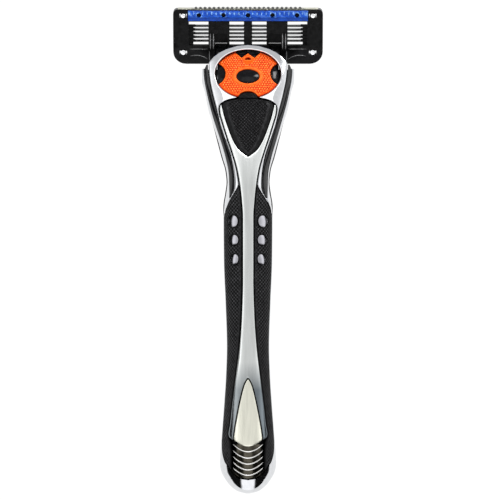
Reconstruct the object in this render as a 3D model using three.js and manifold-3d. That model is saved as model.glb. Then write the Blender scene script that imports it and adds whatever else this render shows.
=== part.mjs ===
// A five-blade cartridge razor lying on its face, button side up.
// Millimetres. +Z is up, +Y runs along the handle towards the head, +X is to the right.

import * as THREE from "three";
import { mergeGeometries, mergeVertices } from "three/addons/utils/BufferGeometryUtils.js";
import Module from "manifold-3d";

// ---------------------------------------------------------------- driving sizes
const GAP = 0.3; // clearance between neighbouring pieces
const SKIN = 1.2; // thickness of every handle skin
const CORE = SKIN + 0.3; // inset of the chassis below the outer surface
const LOWEST = -68.35; // tip of the tail
const HEAD_END = 50.6; // front edge of the handle shell
const HEAD_TILT = THREE.MathUtils.degToRad(12); // cartridge tilt when lying down
const HEAD_Y = 58; // cartridge frame origin along the handle
const HEAD_Z = 3.1; // cartridge frame origin above the floor
const DOCK_TILT = THREE.MathUtils.degToRad(-20); // slide direction of button and plunger
const DOCK_Y = 50;
const DOCK_Z = 9.29;
const PIVOT_U = -1.45; // pivot axis in the cartridge frame
const PIVOT_W = 0.3;
const BLADES = 5;
const BLADE_PITCH = 1.05;
const BLADE_EDGE = 0.363; // first cutting edge along the cartridge
const BLADE_ANGLE = THREE.MathUtils.degToRad(21);
const CARTRIDGE_HALF = 21;

// half width, top height, bottom height and widest height of the handle along Y
const HALF_WIDTH = [
  [-68.35, 0.6], [-67.9, 2.4], [-67.4, 3.5], [-65.1, 5.9], [-62, 7.6], [-60, 7.95],
  [-52.5, 7.5], [-43.5, 6.84], [-35, 6.3], [-27, 6.05], [-15, 6.4], [-3, 6.87],
  [8, 6.95], [12.3, 6.9], [16, 6.35], [19, 6.0], [22, 6.3], [26, 7.45], [30, 8.5],
  [35, 9.8], [39, 11.1], [44, 12.1], [47.5, 12.95], [51, 12.95], [54, 13.4], [58, 14],
];
const TOP = [
  [-68.35, 5.9], [-67.9, 7.2], [-66, 8.8], [-62, 10.5], [-55, 12.3], [-40, 13.5],
  [-20, 14.8], [0, 15.8], [15, 16.6], [27, 17.3], [34, 17.2], [42, 16.2], [49, 14.5],
  [58, 11.6],
];
const BOTTOM = [
  [-68.35, 5.1], [-67.9, 3.7], [-66, 2.0], [-63, 0.5], [-60, -0.1], [-55, -0.25],
  [-50, 0.1], [-42, 1.0], [-30, 2.5], [-10, 4.3], [10, 5.3], [30, 5.0], [45, 5.4],
  [50, 5.8], [58, 7.4],
];
const WAIST = [
  [-68.35, 5.5], [-60, 4.8], [-40, 6.4], [-10, 9.0], [15, 10.2], [40, 10.6], [58, 9.4],
];
const FLATNESS = [
  [-68.35, 2.2], [-40, 2.3], [10, 2.3], [34, 2.5], [45, 3.3], [58, 3.5],
];

// half widths of the decorative outlines along Y
const SPINE_EDGE = [
  [-52.6, 4.6], [-51.5, 5.45], [-48.6, 5.0], [-44, 4.5], [-35.2, 3.4], [-26.3, 2.36],
  [-17.3, 1.77], [-8.4, 1.53], [9.5, 1.53], [13.4, 1.8], [18, 2.25], [22.3, 2.95],
  [26.8, 4.2], [31.3, 5.7], [35.8, 7.1], [38, 7.7], [39.6, 7.85], [40.6, 7.0],
];
const PAD_EDGE = [
  [26.3, 0.3], [26.8, 1.1], [27.9, 2.35], [30.2, 3.8], [32.4, 4.75], [34.6, 5.55],
  [36.9, 6.3], [39.1, 6.85], [40.2, 7.1], [41.3, 6.1], [42.0, 2.75], [43.0, 2.3],
  [43.7, 1.2], [43.8, 0.3],
];
const PANEL_EDGE = [
  [-53.8, 2.0], [-53.1, 4.0], [-50.8, 3.75], [-46.4, 3.0], [-41.9, 2.1], [-37.4, 0.9],
  [-36, 0.15],
];
const TONGUE_EDGE = [
  [-64, 0.4], [-63.6, 2.5], [-61.6, 4.55], [-57.5, 4.6], [-54.1, 4.35],
];
const INLAY_INNER = [
  [14.6, 5.1], [17, 3.98], [19, 3.95], [21.2, 4.1], [25.7, 4.85], [30.2, 6.3],
  [34.6, 7.8], [39.1, 8.9], [43.6, 10.05], [48, 10.9], [50.3, 11.1], [52, 11.15],
];
const INLAY_OUTER = [
  [14.6, 5.25], [17, 5.2], [19, 5.25], [21.2, 5.35], [25.7, 6.2], [30.2, 7.5],
  [34.6, 8.75], [39.1, 10.05], [43.6, 11.15], [48, 11.95], [50.3, 12.1], [52, 11.4],
];
const HOOP_OUTLINE = [
  [11.0, 52.1], [9.6, 53.9], [8.0, 55.1], [6.0, 56.1], [3.0, 57.0], [0, 57.3],
];

// ---------------------------------------------------------------- solids
const wasm = await Module();
wasm.setup();
const { Manifold, Mesh: SolidMesh } = wasm;

function solid(geometry) {
  const bare = geometry.index ? geometry.clone() : geometry;
  bare.deleteAttribute("normal");
  bare.deleteAttribute("uv");
  const merged = mergeVertices(bare, 1e-5);
  return new Manifold(new SolidMesh({
    numProp: 3,
    vertProperties: new Float32Array(merged.attributes.position.array),
    triVerts: new Uint32Array(merged.index.array),
  }));
}

function box(x0, x1, y0, y1, z0, z1) {
  const geometry = new THREE.BoxGeometry(x1 - x0, y1 - y0, z1 - z0);
  geometry.translate((x0 + x1) / 2, (y0 + y1) / 2, (z0 + z1) / 2);
  return solid(geometry);
}

// a closed outline in plan, extruded upwards from z0 to z1
function upright(points, z0, z1) {
  const shape = new THREE.Shape(points.map(([x, y]) => new THREE.Vector2(x, y)));
  const geometry = new THREE.ExtrudeGeometry(shape, { depth: z1 - z0, bevelEnabled: false });
  geometry.translate(0, 0, z0);
  return solid(geometry);
}

// a closed outline in the YZ plane, extruded along X from x0 to x1
function crosswise(points, x0, x1) {
  const shape = new THREE.Shape(points.map(([y, z]) => new THREE.Vector2(y, z)));
  const geometry = new THREE.ExtrudeGeometry(shape, { depth: x1 - x0, bevelEnabled: false });
  geometry.rotateY(Math.PI / 2);
  geometry.rotateX(Math.PI / 2);
  geometry.translate(x0, 0, 0);
  return solid(geometry);
}

// a round bar along X, Y or Z
function bar(axis, radius, from, to, a, b, sides = 20) {
  const geometry = new THREE.CylinderGeometry(radius, radius, to - from, sides);
  const middle = (from + to) / 2;
  if (axis === "x") {
    geometry.rotateZ(-Math.PI / 2);
    geometry.translate(middle, a, b);
  } else if (axis === "y") {
    geometry.translate(a, middle, b);
  } else {
    geometry.rotateX(Math.PI / 2);
    geometry.translate(a, b, middle);
  }
  return solid(geometry);
}

function oval(cx, cy, rx, ry, z0, z1, sides = 32) {
  const points = [];
  for (let i = 0; i < sides; i += 1) {
    const angle = (2 * Math.PI * i) / sides;
    points.push([cx + rx * Math.cos(angle), cy + ry * Math.sin(angle)]);
  }
  return upright(points, z0, z1);
}

function mirrored(one) {
  return one.mirror([1, 0, 0]);
}

function both(one) {
  return one.add(mirrored(one));
}

function union(list) {
  return list.reduce((whole, one) => whole.add(one));
}

// ---------------------------------------------------------------- handle surface
function along(table, y) {
  const last = table.length - 1;
  if (y <= table[0][0]) {
    return table[0][1];
  }
  if (y >= table[last][0]) {
    return table[last][1];
  }
  const i = table.findIndex((row, k) => k < last && y < table[k + 1][0]);
  const [y0, v0] = table[i];
  const [y1, v1] = table[i + 1];
  const slope = (k) => {
    if (k <= 0 || k >= last) {
      return null;
    }
    const left = (table[k][1] - table[k - 1][1]) / (table[k][0] - table[k - 1][0]);
    const right = (table[k + 1][1] - table[k][1]) / (table[k + 1][0] - table[k][0]);
    return left * right <= 0 ? 0 : (2 * left * right) / (left + right);
  };
  const chord = (v1 - v0) / (y1 - y0);
  const m0 = slope(i) ?? chord;
  const m1 = slope(i + 1) ?? chord;
  const t = (y - y0) / (y1 - y0);
  const h = y1 - y0;
  return v0 * (2 * t ** 3 - 3 * t ** 2 + 1) + h * m0 * (t ** 3 - 2 * t ** 2 + t)
    + v1 * (3 * t ** 2 - 2 * t ** 3) + h * m1 * (t ** 3 - t ** 2);
}

function sectionPoint(y, inset, angle) {
  const upper = Math.sin(angle) >= 0;
  const waist = along(WAIST, y);
  const wide = Math.max(0.12, along(HALF_WIDTH, y) - inset);
  const tall = upper
    ? Math.max(0.1, along(TOP, y) - inset - waist)
    : Math.max(0.1, waist - along(BOTTOM, y) - inset);
  const power = 2 / (upper ? along(FLATNESS, y) : 2.6);
  const c = Math.cos(angle);
  const s = Math.sin(angle);
  const x = wide * Math.sign(c) * Math.abs(c) ** power;
  const z = waist + tall * Math.sign(s) * Math.abs(s) ** power;
  return [Math.abs(c) < 1e-9 ? 0 : x, Math.abs(s) < 1e-9 ? waist : z];
}

function surfaceHeight(x, y, inset = 0) {
  const waist = along(WAIST, y);
  const wide = along(HALF_WIDTH, y) - inset;
  const power = along(FLATNESS, y);
  const part = Math.max(0, 1 - Math.abs(x / wide) ** power);
  return waist + (along(TOP, y) - inset - waist) * part ** (1 / power);
}

function stations(y0, y1) {
  const list = [y0];
  let y = y0;
  while (y < y1 - 0.4) {
    let step = 7.5;
    if (y < -66.5) {
      step = 0.7;
    } else if (y < -60) {
      step = 1.7;
    } else if (y > 10) {
      step = 4.2;
    }
    y = Math.min(y1, y + step);
    list.push(y);
  }
  return list;
}

// a closed loft of the handle section between two stations
function loft(y0, y1, inset, from = 0, to = 2 * Math.PI, count = 24) {
  const whole = to - from > 6.28;
  const rows = stations(y0, y1);
  const per = whole ? count : count + 1;
  const points = [];
  for (const y of rows) {
    for (let i = 0; i < per; i += 1) {
      const [x, z] = sectionPoint(y, inset, from + ((to - from) * i) / count);
      points.push(x, y, z);
    }
  }
  const faces = [];
  for (let r = 0; r + 1 < rows.length; r += 1) {
    for (let i = 0; i < per; i += 1) {
      const a = r * per + i;
      const b = r * per + ((i + 1) % per);
      faces.push(a, b, b + per, a, b + per, a + per);
    }
  }
  const first = points.length / 3;
  const lastRow = (rows.length - 1) * per;
  const middle = (row) => {
    let x = 0;
    let z = 0;
    for (let i = 0; i < per; i += 1) {
      x += points[3 * (row + i)] / per;
      z += points[3 * (row + i) + 2] / per;
    }
    return [x, z];
  };
  const [xa, za] = middle(0);
  const [xb, zb] = middle(lastRow);
  points.push(xa, rows[0], za, xb, rows[rows.length - 1], zb);
  for (let i = 0; i < per; i += 1) {
    const j = (i + 1) % per;
    faces.push(first, j, i, first + 1, lastRow + i, lastRow + j);
  }
  const geometry = new THREE.BufferGeometry();
  geometry.setAttribute("position", new THREE.Float32BufferAttribute(points, 3));
  geometry.setIndex(faces.reverse());
  return solid(geometry);
}

// a symmetric outline in plan from a table of half widths, grown by a margin
function banner(table, margin = 0, step = 4.2) {
  const low = table[0][0];
  const high = table[table.length - 1][0];
  const side = [];
  for (const [y, x] of table) {
    side.push([Math.max(0.05, x + margin), y]);
  }
  const fine = [];
  for (let i = 0; i + 1 < side.length; i += 1) {
    fine.push(side[i]);
    const span = side[i + 1][1] - side[i][1];
    const extra = Math.floor(span / step);
    for (let k = 1; k < extra; k += 1) {
      const y = side[i][1] + (span * k) / extra;
      fine.push([Math.max(0.05, along(table, y) + margin), y]);
    }
  }
  fine.push(side[side.length - 1]);
  fine[0] = [fine[0][0], low - margin];
  fine[fine.length - 1] = [fine[fine.length - 1][0], high + margin];
  const left = fine.map(([x, y]) => [-x, y]).reverse();
  return upright([...fine, ...left], -2, 25);
}

// an outline between two half-width tables on the right-hand side
function strip(inner, outer, margin = 0) {
  const right = outer.map(([y, x]) => [x + margin, y]);
  const left = inner.map(([y, x]) => [x - margin, y]).reverse();
  return upright([...right, ...left], -2, 25);
}

const outer = loft(LOWEST, 57.6, 0);
const inner = loft(-67.1, 57.8, SKIN);
const hull = outer.subtract(inner);
const upperHalf = loft(LOWEST - 0.2, 57.9, -1.5, 0, Math.PI, 20);
const lowerHalf = loft(LOWEST - 0.2, 57.9, -1.5, Math.PI, 2 * Math.PI, 20);
const upperSkin = hull.intersect(upperHalf);
const lowerSkin = hull.intersect(lowerHalf);

// ---------------------------------------------------------------- frames
function placed(one, y, z, tilt) {
  return one.rotate([THREE.MathUtils.radToDeg(tilt), 0, 0]).translate([0, y, z]);
}

function docked(one) {
  return placed(one, DOCK_Y, DOCK_Z, DOCK_TILT);
}

function headed(one) {
  return placed(one, HEAD_Y, HEAD_Z, HEAD_TILT);
}

const pieces = [];

function keep(name, one, color, metalness = 0, roughness = 0.5) {
  pieces.push({ name, one, color, metalness, roughness });
}

const BLACK = 0x1c1d1f;
const RUBBER = 0x242527;
const CHROME = 0xd8dadd;
const STEEL = 0xb4b8bc;
const SATIN = 0xc3c7c4;
const ORANGE = 0xff6414;
const BLUE = 0x2350c3;

// ---------------------------------------------------------------- cartridge
function wedge(points, half) {
  return crosswise(points, -half, half);
}

const housingProfile = [
  [-5.5, -0.9], [-4.7, -1.6], [9.7, -1.6], [10.2, -1.1], [10.2, 2.6], [9.7, 3.2],
  [-0.1, 3.2], [-5.5, 0.5],
];
const housingPlan = [];
const corners = [
  [CARTRIDGE_HALF - 3.6, -5.5 + 3.6, 3.6, -90], [CARTRIDGE_HALF - 1.2, 10.2 - 1.2, 1.2, 0],
  [-CARTRIDGE_HALF + 1.2, 10.2 - 1.2, 1.2, 90], [-CARTRIDGE_HALF + 3.6, -5.5 + 3.6, 3.6, 180],
];
for (const [cx, cy, radius, start] of corners) {
  for (let i = 0; i <= 6; i += 1) {
    const angle = THREE.MathUtils.degToRad(start + 15 * i);
    housingPlan.push([cx + radius * Math.cos(angle), cy + radius * Math.sin(angle)]);
  }
}
let housing = wedge(housingProfile, CARTRIDGE_HALF).intersect(upright(housingPlan, -3, 5));
housing = housing.subtract(box(-18.8, 18.8, -0.36, 6.4, -3, 0.75));
housing = housing.subtract(both(box(1.15, 5.2, 0.15, 7.0, 0, 5)));
housing = housing.subtract(both(box(11.1, 16.6, 0.15, 7.0, 0, 5)));
housing = housing.subtract(both(box(5.85, 9.3, -4.6, 0.6, -0.95, 5)));
housing = housing.subtract(both(box(5.85, 9.3, -4.6, 3.4, 1.6, 5)));
housing = housing.subtract(both(box(9.9, 10.35, -3.6, 4.1, 2.7, 5)));
housing = housing.subtract(both(bar("x", 0.98, 4.95, 10.65, PIVOT_U, PIVOT_W, 18)));
// seats for the guard strip, the glide strip, the trimmer and the retaining clips
housing = housing.subtract(box(-17.3, 17.3, -5.3, -0.96, -3, -0.9));
housing = housing.subtract(box(-17.3, 17.3, 6.8, 9.5, -3, -1.05));
housing = housing.subtract(box(-16.3, 16.3, 8.2, 11, 1.75, 2.55));
for (const u of [-2.1, 8.5]) {
  housing = housing.subtract(both(box(17.15, 19.25, u - 0.55, u + 0.55, -3, 5)));
}
housing = housing.subtract(both(box(17.15, 19.25, -2.65, 9.05, -3, -1.75)));
// round wells where the clip ends are headed over
for (const [u, floor] of [[-1.95, 1.75], [8.5, 2.75]]) {
  housing = housing.subtract(both(oval(18.2, u, 1.08, 0.98, floor, 5, 16)));
}
// shelf and spring fingers in the outer windows, above the blade supports
const fingers = [box(15.35, 16.9, -0.1, 0.95, 0.85, 1.15), box(15.3, 16.9, 0.9, 5.6, 0.85, 1.15)];
for (let k = 0; k < BLADES; k += 1) {
  const u = BLADE_EDGE + BLADE_PITCH * k + 0.58;
  fingers.push(box(14.85, 16.9, u - 0.02, u + 0.68, 0.85, 1.5));
}
// sills under the pivot arms, closing the bay between the windows
fingers.push(box(5.3, 10.95, -0.55, 0.1, -1.5, -1.0));
housing = union([housing, ...fingers.map(both)]);
// comb along the cap edge
const combTeeth = [];
for (let k = 0; k < 24; k += 1) {
  const x = (k - 11.5) * 1.27;
  combTeeth.push(box(x - 0.33, x + 0.33, 10.1, 10.55, -0.6, 1.45));
}
housing = union([housing, ...combTeeth]);
keep("housing", headed(housing), BLACK, 0, 0.4);

const guardParts = [box(-17, 17, -5.0, -1.26, -1.72, -1.2)];
for (let k = 0; k < 7; k += 1) {
  const u = -4.92 + 0.56 * k;
  guardParts.push(box(-16.6, 16.6, u, u + 0.22, -2.1, -1.7));
}
keep("guard_strip", headed(union(guardParts)), RUBBER, 0, 0.8);
keep("lube_strip", headed(box(-17, 17, 7.1, 9.2, -2.1, -1.35)), 0xdfe9df, 0, 0.4);

const lean = [Math.cos(BLADE_ANGLE), Math.sin(BLADE_ANGLE)];
for (let k = 0; k < BLADES; k += 1) {
  const u = BLADE_EDGE + BLADE_PITCH * k;
  const w = -1.9;
  const at = (a, b) => [u + a * lean[0] - b * lean[1], w + a * lean[1] + b * lean[0]];
  const blade = wedge([[u, w], at(0.86, 0), at(0.86, 0.1), at(0.25, 0.1)], 18.4);
  keep(`blade_${k + 1}`, headed(blade), STEEL, 1, 0.2);
  const rest = wedge([at(0.3, 0.13), at(0.86, 0.13), at(0.86, 0.23), at(0.3, 0.23)], 18.4);
  const rise = 1.77 * Math.tan(HEAD_TILT);
  const leg = wedge([[u + 0.635, -1.42], [u + 0.735, -1.42], [u + 0.735 + rise, 0.35],
    [u + 0.635 + rise, 0.35]], 18.4);
  keep(`blade_support_${k + 1}`, headed(rest.add(leg)), STEEL, 1, 0.35);
}

function clip(side) {
  const x0 = side > 0 ? 17.4 : -19.0;
  const x1 = side > 0 ? 19.0 : -17.4;
  const front = box(x0, x1, -2.35, 8.75, -2.3, -2.02);
  const legs = [-2.2, 8.25].map((u) => {
    const low = box(x0, x1, u, u + 0.5, -2.3, -1.0);
    return low.add(box(x0 + 0.5, x1 - 0.5, u, u + 0.5, -1.2, u < 0 ? 2.05 : 3.1));
  });
  const heads = [oval(side * 18.2, -1.95, 0.72, 0.68, 1.95, 2.6, 16),
    oval(side * 18.2, 8.5, 0.7, 0.58, 3.0, 3.6, 16)];
  return union([front, ...legs, ...heads]);
}
keep("clip_left", headed(clip(-1)), STEEL, 1, 0.25);
keep("clip_right", headed(clip(1)), STEEL, 1, 0.25);

let carrier = crosswise([[7.05, 3.5], [10.0, 3.5], [10.0, 4.05], [8.15, 4.2], [7.05, 3.9]],
  -16.8, 16.8);
for (let k = -2; k <= 2; k += 1) {
  carrier = carrier.subtract(bar("z", 0.6, 3, 5, k * 6.87, 8.75, 16));
}
keep("trimmer_carrier", headed(carrier), BLUE, 0, 0.35);
keep("trimmer_blade", headed(box(-16, 16, 8.5, 10.4, 2.05, 2.25)), STEEL, 1, 0.25);

// ---------------------------------------------------------------- bracket and dock
const headToDock = (u, w) => {
  const y = HEAD_Y + u * Math.cos(HEAD_TILT) - w * Math.sin(HEAD_TILT) - DOCK_Y;
  const z = HEAD_Z + u * Math.sin(HEAD_TILT) + w * Math.cos(HEAD_TILT) - DOCK_Z;
  const c = Math.cos(DOCK_TILT);
  const s = Math.sin(DOCK_TILT);
  return [y * c + z * s, -y * s + z * c];
};
const [pivotS, pivotN] = headToDock(PIVOT_U, PIVOT_W);
let bracket = box(-8.6, 8.6, 0.2, 5.2, -2.4, 2.0);
bracket = bracket.subtract(box(-7.8, 7.8, -1, 4.6, -1.7, 1.7));
bracket = bracket.subtract(bar("y", 1.2, 4, 6, 0, 0, 20));
const armProfile = [
  [3.0, -2.3], [5.2, -2.3], [5.2, -1.2], [pivotS + 0.55, pivotN + 1.0],
  [pivotS + 1.05, pivotN + 0.45], [pivotS + 1.15, pivotN], [pivotS + 0.8, pivotN - 0.8],
  [pivotS, pivotN - 1.15], [pivotS - 0.8, pivotN - 0.8],
];
bracket = bracket.add(both(crosswise(armProfile, 6.15, 9.0)));
bracket = bracket.add(both(bar("x", 0.75, 5.15, 10.4, pivotS, pivotN, 18)));
keep("bracket", docked(bracket), BLACK, 0, 0.4);

let nose = box(-7.5, 7.5, -9.2, 4.4, -1.4, 1.4);
nose = nose.subtract(both(box(4.75, 7.05, -8.9, 5, -1.0, 1.0)));
nose = nose.subtract(box(-7.05, 7.05, -8.9, -5.7, -1.0, 1.0));
nose = nose.subtract(both(box(2.0, 4.3, -6, -3.2, -1.0, 1.0)));
nose = nose.subtract(box(-1.8, 1.8, -8.9, -5.2, 0.5, 2));
nose = nose.subtract(bar("y", 1.22, -5.3, 3.9, 0, 0, 20));
nose = nose.subtract(bar("y", 1.05, 3, 5, 0, 0, 20));
keep("nose", docked(nose), BLACK, 0, 0.45);

const plunger = union([
  bar("y", 0.85, -0.4, 7.2, 0, 0, 16),
  bar("y", 1.02, -1.2, -0.3, 0, 0, 16),
  solid(new THREE.SphereGeometry(0.85, 16, 8).translate(0, 7.1, 0)),
]);
keep("plunger", docked(plunger), BLACK, 0, 0.35);

class Coil extends THREE.Curve {
  constructor(radius, low, high, turns) {
    super();
    Object.assign(this, { radius, low, high, turns });
  }

  getPoint(t, target = new THREE.Vector3()) {
    const angle = 2 * Math.PI * this.turns * t;
    const y = this.low + (this.high - this.low) * t;
    return target.set(this.radius * Math.cos(angle), y, this.radius * Math.sin(angle));
  }
}

function coil(radius, low, high, turns, wire, x = 0) {
  const shape = new THREE.Shape();
  for (let i = 0; i < 5; i += 1) {
    const angle = (2 * Math.PI * i) / 5;
    shape[i ? "lineTo" : "moveTo"](wire * Math.cos(angle), wire * Math.sin(angle));
  }
  const geometry = new THREE.ExtrudeGeometry(shape, {
    steps: turns * 10,
    extrudePath: new Coil(radius, low, high, turns),
    bevelEnabled: false,
  });
  return solid(geometry.translate(x, 0, 0));
}
keep("plunger_spring", docked(coil(0.8, -5.05, -1.5, 4, 0.14)), STEEL, 1, 0.3);
keep("ejector_spring_left", docked(coil(0.62, -7.2, -3.5, 3, 0.13, -3.15)), STEEL, 1, 0.3);
keep("ejector_spring_right", docked(coil(0.62, -7.2, -3.5, 3, 0.13, 3.15)), STEEL, 1, 0.3);

const ejector = union([
  both(box(4.95, 6.85, -8.0, 2.9, -0.8, 0.8)),
  box(-6.85, 6.85, -8.6, -7.5, -0.8, 0.8),
  box(-1.5, 1.5, -8.6, -7.3, -0.8, 2.0),
]);
keep("ejector", docked(ejector), BLACK, 0, 0.5);

// ---------------------------------------------------------------- button
const BUTTON_S = -2.38; // centre of the button disc in the dock frame
const BUTTON_X = 8.95;
const BUTTON_R = 7.0;

function dome(rx, ry, base, rim, crown, cy, sides = 40, rings = 5) {
  const profile = [new THREE.Vector2(0, base), new THREE.Vector2(1, base)];
  for (let i = 0; i <= rings; i += 1) {
    const r = 1 - i / rings;
    profile.push(new THREE.Vector2(r, rim + (crown - rim) * (1 - r * r)));
  }
  const geometry = new THREE.LatheGeometry(profile, sides);
  geometry.rotateX(Math.PI / 2);
  geometry.scale(rx, ry, 1);
  geometry.translate(0, cy, 0);
  return solid(geometry);
}

const sideNotch = both(oval(BUTTON_X + 0.35, BUTTON_S + 0.2, 3.1, 3.3, 2, 6, 24));
const topNotch = upright([[-3.4, 8], [-3.4, 4.6], [-1.8, 2.65], [1.8, 2.65], [3.4, 4.6],
  [3.4, 8]], 2, 6);
const arrow = upright([[0, 3.9], [-1.75, 2.1], [1.75, 2.1]], 2, 6);
const footNotch = oval(0, BUTTON_S - 7.25, 2.95, 2.15, 2, 6, 24);
const capDome = dome(BUTTON_X, BUTTON_R, 2.95, 3.35, 4.45, BUTTON_S);
let cap = capDome.subtract(sideNotch).subtract(topNotch.subtract(arrow)).subtract(footNotch);
cap = cap.subtract(oval(0, BUTTON_S - 1.05, 3.3, 2.2, 2, 6, 28));
keep("button_cap", docked(cap), ORANGE, 0, 0.55);
keep("button_insert", docked(dome(3.1, 2.0, 2.95, 4.0, 4.75, BUTTON_S - 1.05, 28, 4)),
  BLACK, 0, 0.15);
let base = oval(0, BUTTON_S, BUTTON_X - 0.3, BUTTON_R - 0.3, 2.25, 2.7, 40);
const filler = dome(BUTTON_X - 0.15, BUTTON_R - 0.15, 2.5, 2.9, 4.0, BUTTON_S);
const sideFill = both(oval(BUTTON_X + 0.35, BUTTON_S + 0.2, 2.85, 3.05, 2.5, 6, 24));
const topFill = upright([[-3.15, 6], [-3.15, 4.6], [-1.75, 2.95], [-1.55, 2.9], [0, 4.45],
  [1.55, 2.9], [1.75, 2.95], [3.15, 4.6], [3.15, 6]], 2.5, 6);
base = base.add(filler.intersect(sideFill)).add(filler.intersect(topFill));
base = base.subtract(oval(0, BUTTON_S - 7.25, 2.85, 2.0, 2, 6, 24));
keep("button_base", docked(base.add(box(-1.5, 1.5, -8.6, -7.3, 2.05, 2.4))), BLACK, 0, 0.4);

// ---------------------------------------------------------------- handle skins
const padCut = banner(PAD_EDGE, GAP);
const buttonHole = oval(0, 49.2, 9.3, 6.9, -2, 25, 48);
const slideRoom = docked(union([
  oval(0, BUTTON_S + 0.8, BUTTON_X + 0.3, BUTTON_R + 1.1, -4, 3.65, 40),
  oval(0, BUTTON_S + 0.9, BUTTON_X * 0.84, BUTTON_R * 0.84 + 1.1, -4, 4.05, 40),
]));
const bucketRoom = docked(box(-9.0, 9.0, -0.3, 20, -6, 4.05));

const wishboneInner = SPINE_EDGE.filter(([y]) => y > 18.5).map(([y, x]) => [x + GAP, y]);
const outlineOuter = INLAY_INNER.map(([y, x]) => [x - GAP, y]).filter(([, y]) => y > 17.5);
const neckRight = [
  [0, 57.3], ...HOOP_OUTLINE.slice(0, 5).reverse(), ...outlineOuter.reverse(),
  [3.68, 17.3], [3.1, 17.9], [2.85, 18.3], ...wishboneInner, [5.2, 42.1], [0, 43.5],
];
const neckLeft = neckRight.slice(1, -1).map(([x, y]) => [-x, y]).reverse();
let neck = upperSkin.intersect(upright([...neckRight, ...neckLeft].reverse(), 0, 25));
neck = neck.subtract(buttonHole).subtract(slideRoom).subtract(padCut);
keep("neck_cover", neck, CHROME, 1, 0.12);

const spine = upperSkin.intersect(banner(SPINE_EDGE)).subtract(padCut)
  .subtract(banner(PANEL_EDGE, GAP));
keep("spine", spine, SATIN, 1, 0.3);
keep("thumb_pad", upperSkin.intersect(banner(PAD_EDGE)), RUBBER, 0, 0.7);
keep("tail_panel", upperSkin.intersect(banner(PANEL_EDGE)), 0xcfc8b4, 1, 0.3);

const tongue = banner(TONGUE_EDGE);
let ribs = upperSkin.intersect(tongue);
const proud = loft(LOWEST, 0, -0.3, 0, Math.PI, 20).subtract(loft(LOWEST, 0, 0.4));
for (let k = 0; k < 6; k += 1) {
  const y = -54.9 - 1.62 * k;
  const arc = [];
  for (let i = -4; i <= 4; i += 1) {
    arc.push([i * 1.15, y + 0.105 * i * i]);
  }
  const under = arc.map(([x, yy]) => [x, yy - 0.55]).reverse();
  ribs = ribs.add(proud.intersect(upright([...arc, ...under], 0, 25)).intersect(tongue));
}
keep("tail_ribs", ribs, 0x8c7a5c, 1, 0.3);

const gripInner = [
  [-61.4, 4.9], [-59, 4.95], [-54.1, 5.3], [-51.5, 5.8], [-48.6, 5.35], [-44, 4.85],
  [-35.2, 3.75], [-26.3, 2.7], [-17.3, 2.1], [-8.4, 1.85], [9.5, 1.85], [13.4, 2.1],
  [18, 2.55],
];
const gripOuter = [];
for (const y of [-54, -48, -43.5, -39, -35, -30, -24, -19, -15, -8, -3, 3, 8, 10.4]) {
  gripOuter.push([along(HALF_WIDTH, y) - 0.65, y]);
}
const gripRight = [
  ...gripInner.map(([y, x]) => [x, y]).reverse(), [4.9, -61.4], [5.9, -59.2], [6.6, -56.8],
  ...gripOuter, [6.0, 12.2], [5.2, 13.6], [4.5, 14.6], [3.6, 16.1], [2.6, 17.9],
];
const seen = gripRight.filter((p, i) => i === 0 || p[0] !== gripRight[i - 1][0]
  || p[1] !== gripRight[i - 1][1]);
let grip = upperSkin.intersect(upright(seen, 0, 25));
const bumps = [[4.15, 8.0, 1.4, 1.6], [3.9, 2.8, 1.25, 1.4], [3.7, -2.6, 1.1, 1.45]];
bumps.forEach(([x, y, rx, ry], k) => {
  const level = surfaceHeight(x, y);
  const geometry = new THREE.SphereGeometry(1, 14, 8).scale(rx, ry, 1.1);
  geometry.rotateZ(0.3);
  geometry.rotateY(0.42);
  geometry.translate(x, y, level - 0.45);
  const bump = solid(geometry).subtract(inner);
  const seat = new THREE.SphereGeometry(1, 14, 8).scale(rx + 0.2, ry + 0.2, 1.6);
  seat.rotateZ(0.3);
  seat.rotateY(0.42);
  seat.translate(x, y, level - 0.45);
  grip = grip.subtract(solid(seat));
  keep(`grip_bump_right_${k + 1}`, bump, BLACK, 0, 0.15);
  keep(`grip_bump_left_${k + 1}`, mirrored(bump), BLACK, 0, 0.15);
});
keep("grip_right", grip, RUBBER, 0, 0.7);
keep("grip_left", mirrored(grip), RUBBER, 0, 0.7);

const inlay = upperSkin.intersect(strip(INLAY_INNER, INLAY_OUTER));
keep("side_inlay_right", inlay, BLACK, 0, 0.2);
keep("side_inlay_left", mirrored(inlay), BLACK, 0, 0.2);

// rear shell: lower half all along, upper rims beside the inlays and grips, tail cap
const rimEdge = [
  [-64.3, 0.4], [-63.9, 2.75], [-61.7, 5.0], [-59.4, 6.2], [-57, 6.95], [-54, 7.12],
  [-48, 6.75], [-43.5, 6.5], [-35, 5.95], [-27, 5.7], [-15, 6.05], [-3, 6.52],
  [8, 6.6], [11, 6.5], [13, 5.85], [14.3, 5.45], [17, 5.5], [19, 5.55], [21.2, 5.65],
  [25.7, 6.5], [30.2, 7.8], [34.6, 9.05], [39.1, 10.35], [43.6, 11.45], [48, 12.25],
  [50.3, 12.4], [58, 12.4],
];
const opening = upperHalf.intersect(banner(rimEdge));
let shell = hull.subtract(opening);
shell = shell.subtract(box(-20, 20, HEAD_END, 70, -5, 30)).subtract(bucketRoom);
const rearEdge = [
  [-48, 2.0], [-47, 3.0], [-40, 3.6], [-20, 3.2], [0, 3.4], [16, 3.3], [24, 2.6], [25, 1.6],
];
shell = shell.subtract(lowerHalf.intersect(banner(rearEdge, GAP)));
shell = shell.subtract(box(-20, 20, -80, 0, -5, 0));
keep("rear_shell", shell, CHROME, 1, 0.12);
keep("rear_grip", lowerSkin.intersect(banner(rearEdge)), RUBBER, 0, 0.75);

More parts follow.
